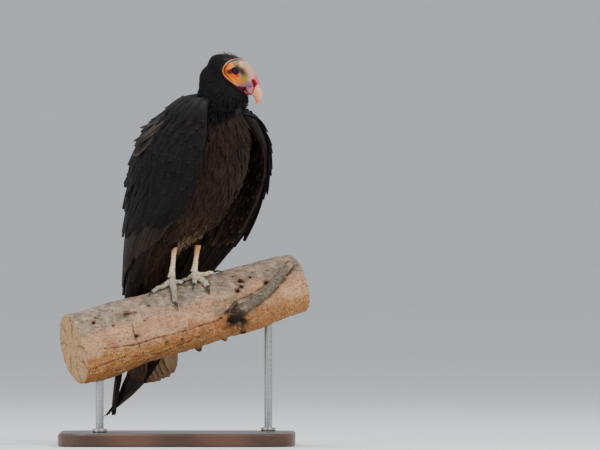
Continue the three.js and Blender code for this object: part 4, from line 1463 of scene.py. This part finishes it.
# which part each kind of feather grows on, by millimetres over the perch, from the heels or on the head
places = body_surface.centres
head_at = skull.back(head_surface.centres)
rim_gap = from_rim(head_at)[1]
crown = (rim_gap < 0) & (head_at[:, 2] > 2)
fuzz = crown & (np.abs(head_at[:, 1]) < 8) & (head_at[:, 0] > -29) & (head_at[:, 0] < -11)
bristles = crown & (rim_gap > -6) & (rim_gap < -0.5)
up = bird.back(places)[:, 2]
seen = skull.back(places)
bare_face = ((from_rim(seen)[1] > -1.2) | (seen[:, 0] > 24)) & (seen[:, 2] > -17.5)
clothed = ~bare_face & (seen[:, 0] < 27)
hood = (up > 262) & clothed
ruff = (up > 222) & (up <= 268) & clothed
to_heel = np.linalg.norm(places[:, None] - HEELS[None], axis=2).min(axis=1)
behind = body_surface.outward @ bird.along(1, 0, 0) < -0.15
breast = (up > 108) & (up <= 230) & ~behind
belly = (up > 34) & (up <= 112) & ~behind & (to_heel > 40)
mantle = (up > 20) & (up <= 236) & behind
thighs = (up > 58) & (up <= 90) & (to_heel > 34)
vent = (up <= 60) & (to_heel > 22)
heels = (to_heel > 12) & (to_heel <= 41) & (up <= 100)
apart = between_legs(places) > 0.3

grow(HOOD, HOOD, body_surface, hood, tuft, (8, 3.2, 0.0, 1.9), 1.5, "hood_velvet", even(0.45), 0.2)
grow(
    "crown_down", HOOD, head_surface, fuzz, wisp, (7.5, 1.0, 0.4, 4.6), 1.8, "crown_down",
    even(0.35), 0.5, 0.45,
)
grow(
    "crown_bristles", HOOD, head_surface, bristles, tuft, (3.6, 1.0, 0.0, 1.3), 1.0, "crown_down",
    even(0.1), 0.3, 0.3,
)
grow(
    "neck_ruff", HOOD, body_surface, ruff, strand, (12, 4.6, 0.0, 5.6), 2.3, "hood_velvet",
    even(0.35), 0.2, share=depth_share,
)
breast_tone = fading(0.72, 108, 340)
belly_tone = fading(0.5, 60, 260)
low_tone = fading(0.75, 0, 160)
for name, chosen, shape, size, spacing, plumage, tones, *spread_and_shaggy in (
    (COAT, breast, strand, (25, 6.0, 0.2, 5.4), 4.1, "breast_plumes", breast_tone, 0.2),
    ("belly_feathers", belly, strand, (29, 7, 0.2, 6.0), 4.5, "belly_plumes", belly_tone, 0.24, 0.3),
    ("mantle_feathers", mantle, covert, (28, 13, 0.6, 5.6), 7.0, "wing_coverts", even(0.4), 0.12),
    ("thigh_plumes", thighs, wisp, (26, 4.6, 0.2, 5.0), 3.4, "belly_plumes", low_tone, 0.3, 0.4),
    ("vent_plumes", vent, wisp, (15, 3.6, 0.2, 4.6), 3.2, "belly_plumes", low_tone, 0.3, 0.4),
    ("heel_tufts", heels, tuft, (11, 2.8, 0.1, 2.2), 2.2, "belly_plumes", low_tone, 0.3, 0.4),
    ("vent_down", apart, wisp, (14, 1.9, 0.8, 6.6), 2.7, "vent_down", even(0.5), 0.45, 0.4),
):
    grow(name, COAT, body_surface, chosen, shape, size, spacing, plumage, tones, *spread_and_shaggy)


# ------------------------------------------------------------------ feathers of the wings


def varied(middle, spread, count):
    """A tone for each feather, between 0 and 1."""
    return np.clip(middle + spread * chance.standard_normal(count), 0, 1)


def along_wing(wing, s, t, length):
    """How far down the wing a feather ends that starts at s, for a length in millimetres."""
    ladder = np.linspace(0, 1, 241)
    ends = np.empty(len(s))
    for i, (start, back, long) in enumerate(zip(s, t, length)):
        path = wing.middle(ladder, np.full(len(ladder), back))
        travelled = np.concatenate([[0], np.cumsum(np.linalg.norm(np.diff(path, axis=0), axis=1))])
        ends[i] = np.interp(np.interp(start, ladder, travelled) + long, travelled, ladder)
    return ends


def cover_wing(wing, name, shape, s, t, length, width, depth, plumage, tones, drift=0.0, **bend):
    """Feathers from places s, t down the wing, joined in one piece."""
    s, t, length, width = (np.broadcast_to(np.asarray(v, float), np.shape(s)) for v in (s, t, length, width))
    ends = along_wing(wing, s, t, length)
    points = lay_on_wing(wing, shape, (s, t), (ends, t + drift), width, depth, **bend)
    patches, size = sheet_cells(len(s)) if shape.twin else (stretched(np.stack([t, s], 1)), SPECK)
    obj = joined_copies(name, shape, points, tones, patches, size)
    finish_piece(obj, "flight_feathers", finishes[plumage])


def shingle_rows(rows, spacing, wing, first, last):
    """Staggered places for rows of coverts, s from first to last."""
    places = []
    for row in range(rows):
        k = row / (rows - 1)
        s = first + (last - first) * k
        gap = spacing[0] + (spacing[1] - spacing[0]) * k
        path = wing.middle(np.full(60, s), np.linspace(0, 1, 60))
        span = np.linalg.norm(np.diff(path, axis=0), axis=1).sum()
        count = max(int(span / gap), 3)
        places += [(s, (i + 0.5 * (row % 2) + 0.25) / count, k) for i in range(count)]
    s, t, k = np.array(places).T
    s = s + chance.uniform(-0.008, 0.008, len(s))
    t = t + chance.uniform(-0.15, 0.15, len(t)) / 20
    return s, np.clip(t, 0.01, 0.99), k


def line_wing(name, wing):
    """Feathers over the wrist and on the side of the wing that faces the body."""
    s, t, k = shingle_rows(4, (8, 9), wing, -0.035, 0.01)
    n = len(s)
    cover_wing(
        wing, f"wing_{name}_wrist_coverts", covert, s, t,
        24 + 4 * chance.random(n), 13 + 2 * chance.random(n),
        (16 - 11 * k, -0.6 - 0.9 * chance.random(n)),
        "wing_coverts", varied(0.35, 0.25, n), curl=3,
    )
    s, t, k = shingle_rows(10, (10, 17), wing, 0.0, 0.36)
    n = len(s)
    cover_wing(
        wing, f"wing_{name}_lining", covert, s, t,
        28 + 40 * k + 5 * chance.standard_normal(n), 15 + 7 * k,
        (0.5 + 0 * k, -2.0 - 1.0 * chance.random(n)),
        "wing_lining", varied(0.4, 0.25, n), under=True,
    )


def cover_coverts(name, wing):
    """Small feathers on the upper wing, then the large coverts below them."""
    s, t, k = shingle_rows(11, (9, 12.5), wing, 0.0, 0.2)
    n = len(s)
    wave = chance.uniform(-1, 1, n)
    cover_wing(
        wing, f"wing_{name}_small_coverts", covert, s, t,
        (28 + 26 * k) * (1 + 0.1 * wave), (12.5 + 5.0 * k) * (1 + 0.08 * wave),
        (3.0 + 0 * k, -0.8 - 0.9 * chance.random(n)),
        "wing_coverts", varied(0.35, 0.25, n),
        lift=np.where(t > 0.8, 5.0 * chance.random(n) ** 2, 0.8 * chance.random(n)),
    )
    s, t, k = shingle_rows(3, (15, 18), wing, 0.19, 0.27)
    n = len(s)
    cover_wing(
        wing, f"wing_{name}_large_coverts", quill, s, t,
        64 + 28 * k + 5 * chance.standard_normal(n), 20.5 + 3.5 * k,
        (4.6 + 0 * k, 0.4 + 0.8 * (1 - t)),
        "wing_coverts", varied(0.42, 0.2, n), slope=-0.12, lift=0.8 * chance.random(n),
    )


def add_flight_feathers(wing, name, shape, root, tip, width, depth, tone, nodes=(), **bend):
    """A row of large feathers from their roots to their tips, both (s, t) places."""
    points = lay_on_wing(wing, shape, root, tip, width, depth, FLIGHT_SLOPE, **bend)
    patches, size = sheet_cells(len(width))
    obj = joined_copies(name, shape, points, varied(tone, 0.18, len(width)), patches, size)
    finish_piece(obj, "flight_feathers", finishes["flight_feathers"], *nodes)


def feather_wing(name, wing):
    cover_coverts(name, wing)
    count = 16
    t = np.linspace(0.1, 0.97, count)
    ends = 0.505 + 0.165 * t + 0.012 * np.sin(np.arange(count) * 2.4)
    add_flight_feathers(
        wing, f"wing_{name}_secondaries", quill, (np.full(count, 0.29), t), (ends, t),
        np.linspace(25, 31, count), (6.6 + 0 * t, 3.4 + 2.0 * (1 - t)),
        0.5, [f"wing_{name}_{layer}" for layer in WING_LAYERS],
    )
    ends, first, width, over = PRIMARIES[name]
    count = len(ends)
    t = np.linspace(0.1, 0.86, count)
    add_flight_feathers(
        wing, f"wing_{name}_primaries", blade,
        (np.full(count, 0.34), t), (np.array(ends), np.linspace(first, 0.85, count)),
        np.full(count, width), (9.4 + 1.6 * (1 - t), 7.2 + 3.4 * (1 - t)), 0.42, over=over,
    )
    count = 26
    s = chance.uniform(0.0, 0.24, count)
    t = chance.uniform(0.74, 1.0, count)
    cover_wing(
        wing, f"wing_{name}_scapulars", quill, s, t,
        56 + 16 * chance.random(count), 23 + 4 * chance.random(count),
        (1.5 + 0 * t, -1.8 - 1.6 * chance.random(count)),
        "wing_coverts", varied(0.45, 0.2, count), lift=4 * chance.random(count) ** 2,
    )


def ruffle(name, wing):
    """Longer loose feathers that stand up on the shoulder."""
    s = np.array([0.055, 0.075, 0.085, 0.1, 0.112, 0.125, 0.14])
    t = np.array([0.66, 0.58, 0.63, 0.55, 0.6, 0.53, 0.57])
    count = len(s)
    cover_wing(
        wing, f"wing_{name}_ruffled_scapulars", quill, s, t,
        34 + 9 * chance.random(count), 20 + 5 * chance.random(count),
        (1.0 + 0 * t, -2.0 - 1.5 * chance.random(count)),
        "ruffled_scapulars", varied(0.3, 0.25, count), drift=0.07, lift=4 + 6 * chance.random(count),
    )


def wing_core(name, wing):
    """The dark inside of the wing, a closed slab under its feathers and over the body."""
    s = np.linspace(-0.03, 0.5, 44)[:, None]
    t = np.linspace(0.02, 0.98, 24)[None, :]
    centre, out, _ = wing.frame(s, t)
    start, end = (depth * np.ones_like(t) for depth in wing_lining(s))
    outer = centre - out * start[..., None]
    inner = centre - out * end[..., None]
    grid = np.arange(start.size).reshape(start.shape)
    quads = quads_of(grid)
    verts = np.vstack([outer.reshape(-1, 3), inner.reshape(-1, 3)])
    faces = np.vstack([quads, quads[:, ::-1] + grid.size, rim_of(grid)])
    obj = new_object(f"wing_{name}_core", verts, faces.tolist())
    activate(obj)
    edit_whole(bpy.ops.mesh.normals_make_consistent, inside=False)
    soft_shade(obj)
    return obj


def core_material():
    made = Recipe("wing_underside", Roughness=0.7, Specular_IOR_Level=0.2)
    down = made.clouds(made.where(), 160, 5)
    colour = made.mix(made.band(down, 0.3, 0.7), rgb(22, 19, 19), rgb(44, 38, 36))
    return made.set(Base_Color=colour, Normal=made.relief(down, 0.6, 0.002))


WING_LAYERS = ("coverts", "secondaries", "primaries")
FLIGHT_SLOPE = -0.10
PRIMARIES = {  # how far down the wing each tip lies; the first tip's t, the width and the reach forward
    "right": ((1.0, 0.995, 0.985, 0.965, 0.93, 0.88, 0.83, 0.78, 0.735, 0.69), 0.3, 25.0, 0.3),
    "left": ((1.0, 0.998, 0.993, 0.985, 0.972, 0.95, 0.91, 0.86, 0.81, 0.75), 0.12, 33.0, 5.0),
}
core_finish = core_material()
for name, wing in wings.items():
    feather_wing(name, wing)
    if name == "right":
        ruffle(name, wing)
    line_wing(name, wing)
    finish_piece(wing_core(name, wing), "flight_feathers", core_finish)


# ------------------------------------------------------------------ tail


# down the tail from its root: forward and up from the perch, and half its width
TAIL_ROWS = [(-66, 32, 20), (-80, -10, 30), (-85, -60, 37), (-81, -105, 41), (-78, -138, 43.5)]
TAIL_FEATHERS = 12
TAIL_COVERT_ROWS = 5
TAIL_COVERTS = 9  # in each row


def lay_tail(shape, across, start, end, width, layer):
    """Tail feathers fanned from the rump: across from -1 to 1, start and end as places down the tail."""
    level = np.linspace(0, 1, 200)
    f, u, half = spline(TAIL_ROWS)(level).T
    v = start[:, None] + (end - start)[:, None] * shape.y[None]
    a = across[:, None]
    arch = 7 * (1 - a * a)
    at_f, at_u, at_half = (np.interp(v, level, values) for values in (f, u, half))
    slope = np.arctan2(np.gradient(f), -np.gradient(u))
    lean = np.interp(v, level, slope)
    out_f, out_u = -np.cos(lean), -np.sin(lean)
    aside = a * (at_half - 8) + shape.x[None] * width
    tilt = -0.16 * np.sign(across)[:, None] * shape.x[None] * width * np.sqrt(np.abs(a))
    rise = arch + layer[:, None] + shape.z[None] * width + tilt
    return rump.at(at_f + out_f * rise, aside, at_u + out_u * rise)


def make_tail():
    across = np.linspace(-1, 1, TAIL_FEATHERS)
    end = 0.985 - 0.09 * across**2 + 0.006 * np.sin(np.arange(TAIL_FEATHERS) * 2.7)
    start = np.full(TAIL_FEATHERS, 0.02)
    points = lay_tail(quill, across, start, end, 27.0, 1.6 - 3.2 * np.abs(across))
    half = len(quill.x) // 2
    below = 0.25 + 0.58 * smooth(-0.5, 0.35, across)
    tones = np.stack([np.full(TAIL_FEATHERS, 0.1), below], 1).repeat(half, axis=1).ravel()
    patches, size = sheet_cells(TAIL_FEATHERS)
    obj = joined_copies("tail_feathers", quill, points, tones, patches, size)
    finish_piece(obj, "flight_feathers", finishes["tail_feathers"], "tail")
    row = np.repeat(np.arange(TAIL_COVERT_ROWS), TAIL_COVERTS)
    across = np.tile(np.linspace(-0.9, 0.9, TAIL_COVERTS), TAIL_COVERT_ROWS) + 0.06 * (row % 2)
    start = np.linspace(0.0, 0.16, TAIL_COVERT_ROWS)[row]
    for side, name in ((1, "upper"), (-1, "under")):
        reach = start + 0.24 + 0.04 * chance.random(len(start))
        above_tail = side * (2.4 - 10 * (start - 0.08))
        points = lay_tail(covert, across * 0.95, start, reach, 17.0, above_tail - (side < 0) * 1.5)
        tones = varied(0.4, 0.2, len(start))
        patches = stretched(np.stack([across, start], 1))
        obj = joined_copies(f"tail_{name}_coverts", covert, points, tones, patches, SPECK)
        finish_piece(obj, "flight_feathers", finishes["belly_plumes"])


make_tail()


# ------------------------------------------------------------------ stage


def floor_material():
    made = Recipe("pale_floor", Roughness=0.9, Specular_IOR_Level=0.1)
    soft = made.clouds(made.where(), 3, 2)
    return made.set(Base_Color=made.mix(soft, rgb(226, 227, 228), rgb(232, 233, 234)))


floor = add_floor()
floor.data.materials.append(floor_material())

world = bpy.data.worlds.new("soft_sky")
bpy.context.scene.world = world
world.use_nodes = True
sky = world.node_tree.nodes["Background"].inputs
sky["Color"].default_value = (0.86, 0.9, 0.95, 1)
sky["Strength"].default_value = 0.75

TARGET = (0.02, 0, 0.3)
add_lamp("key", (1.6, -2.2, 2.4), TARGET, 1.6, 95, (1, 0.98, 0.95))
add_lamp("fill", (-2.4, -1.8, 1.4), TARGET, 2.0, 45, (0.92, 0.96, 1))
add_lamp("top", (-0.3, 0.8, 3.0), TARGET, 1.8, 50, (1, 1, 1))
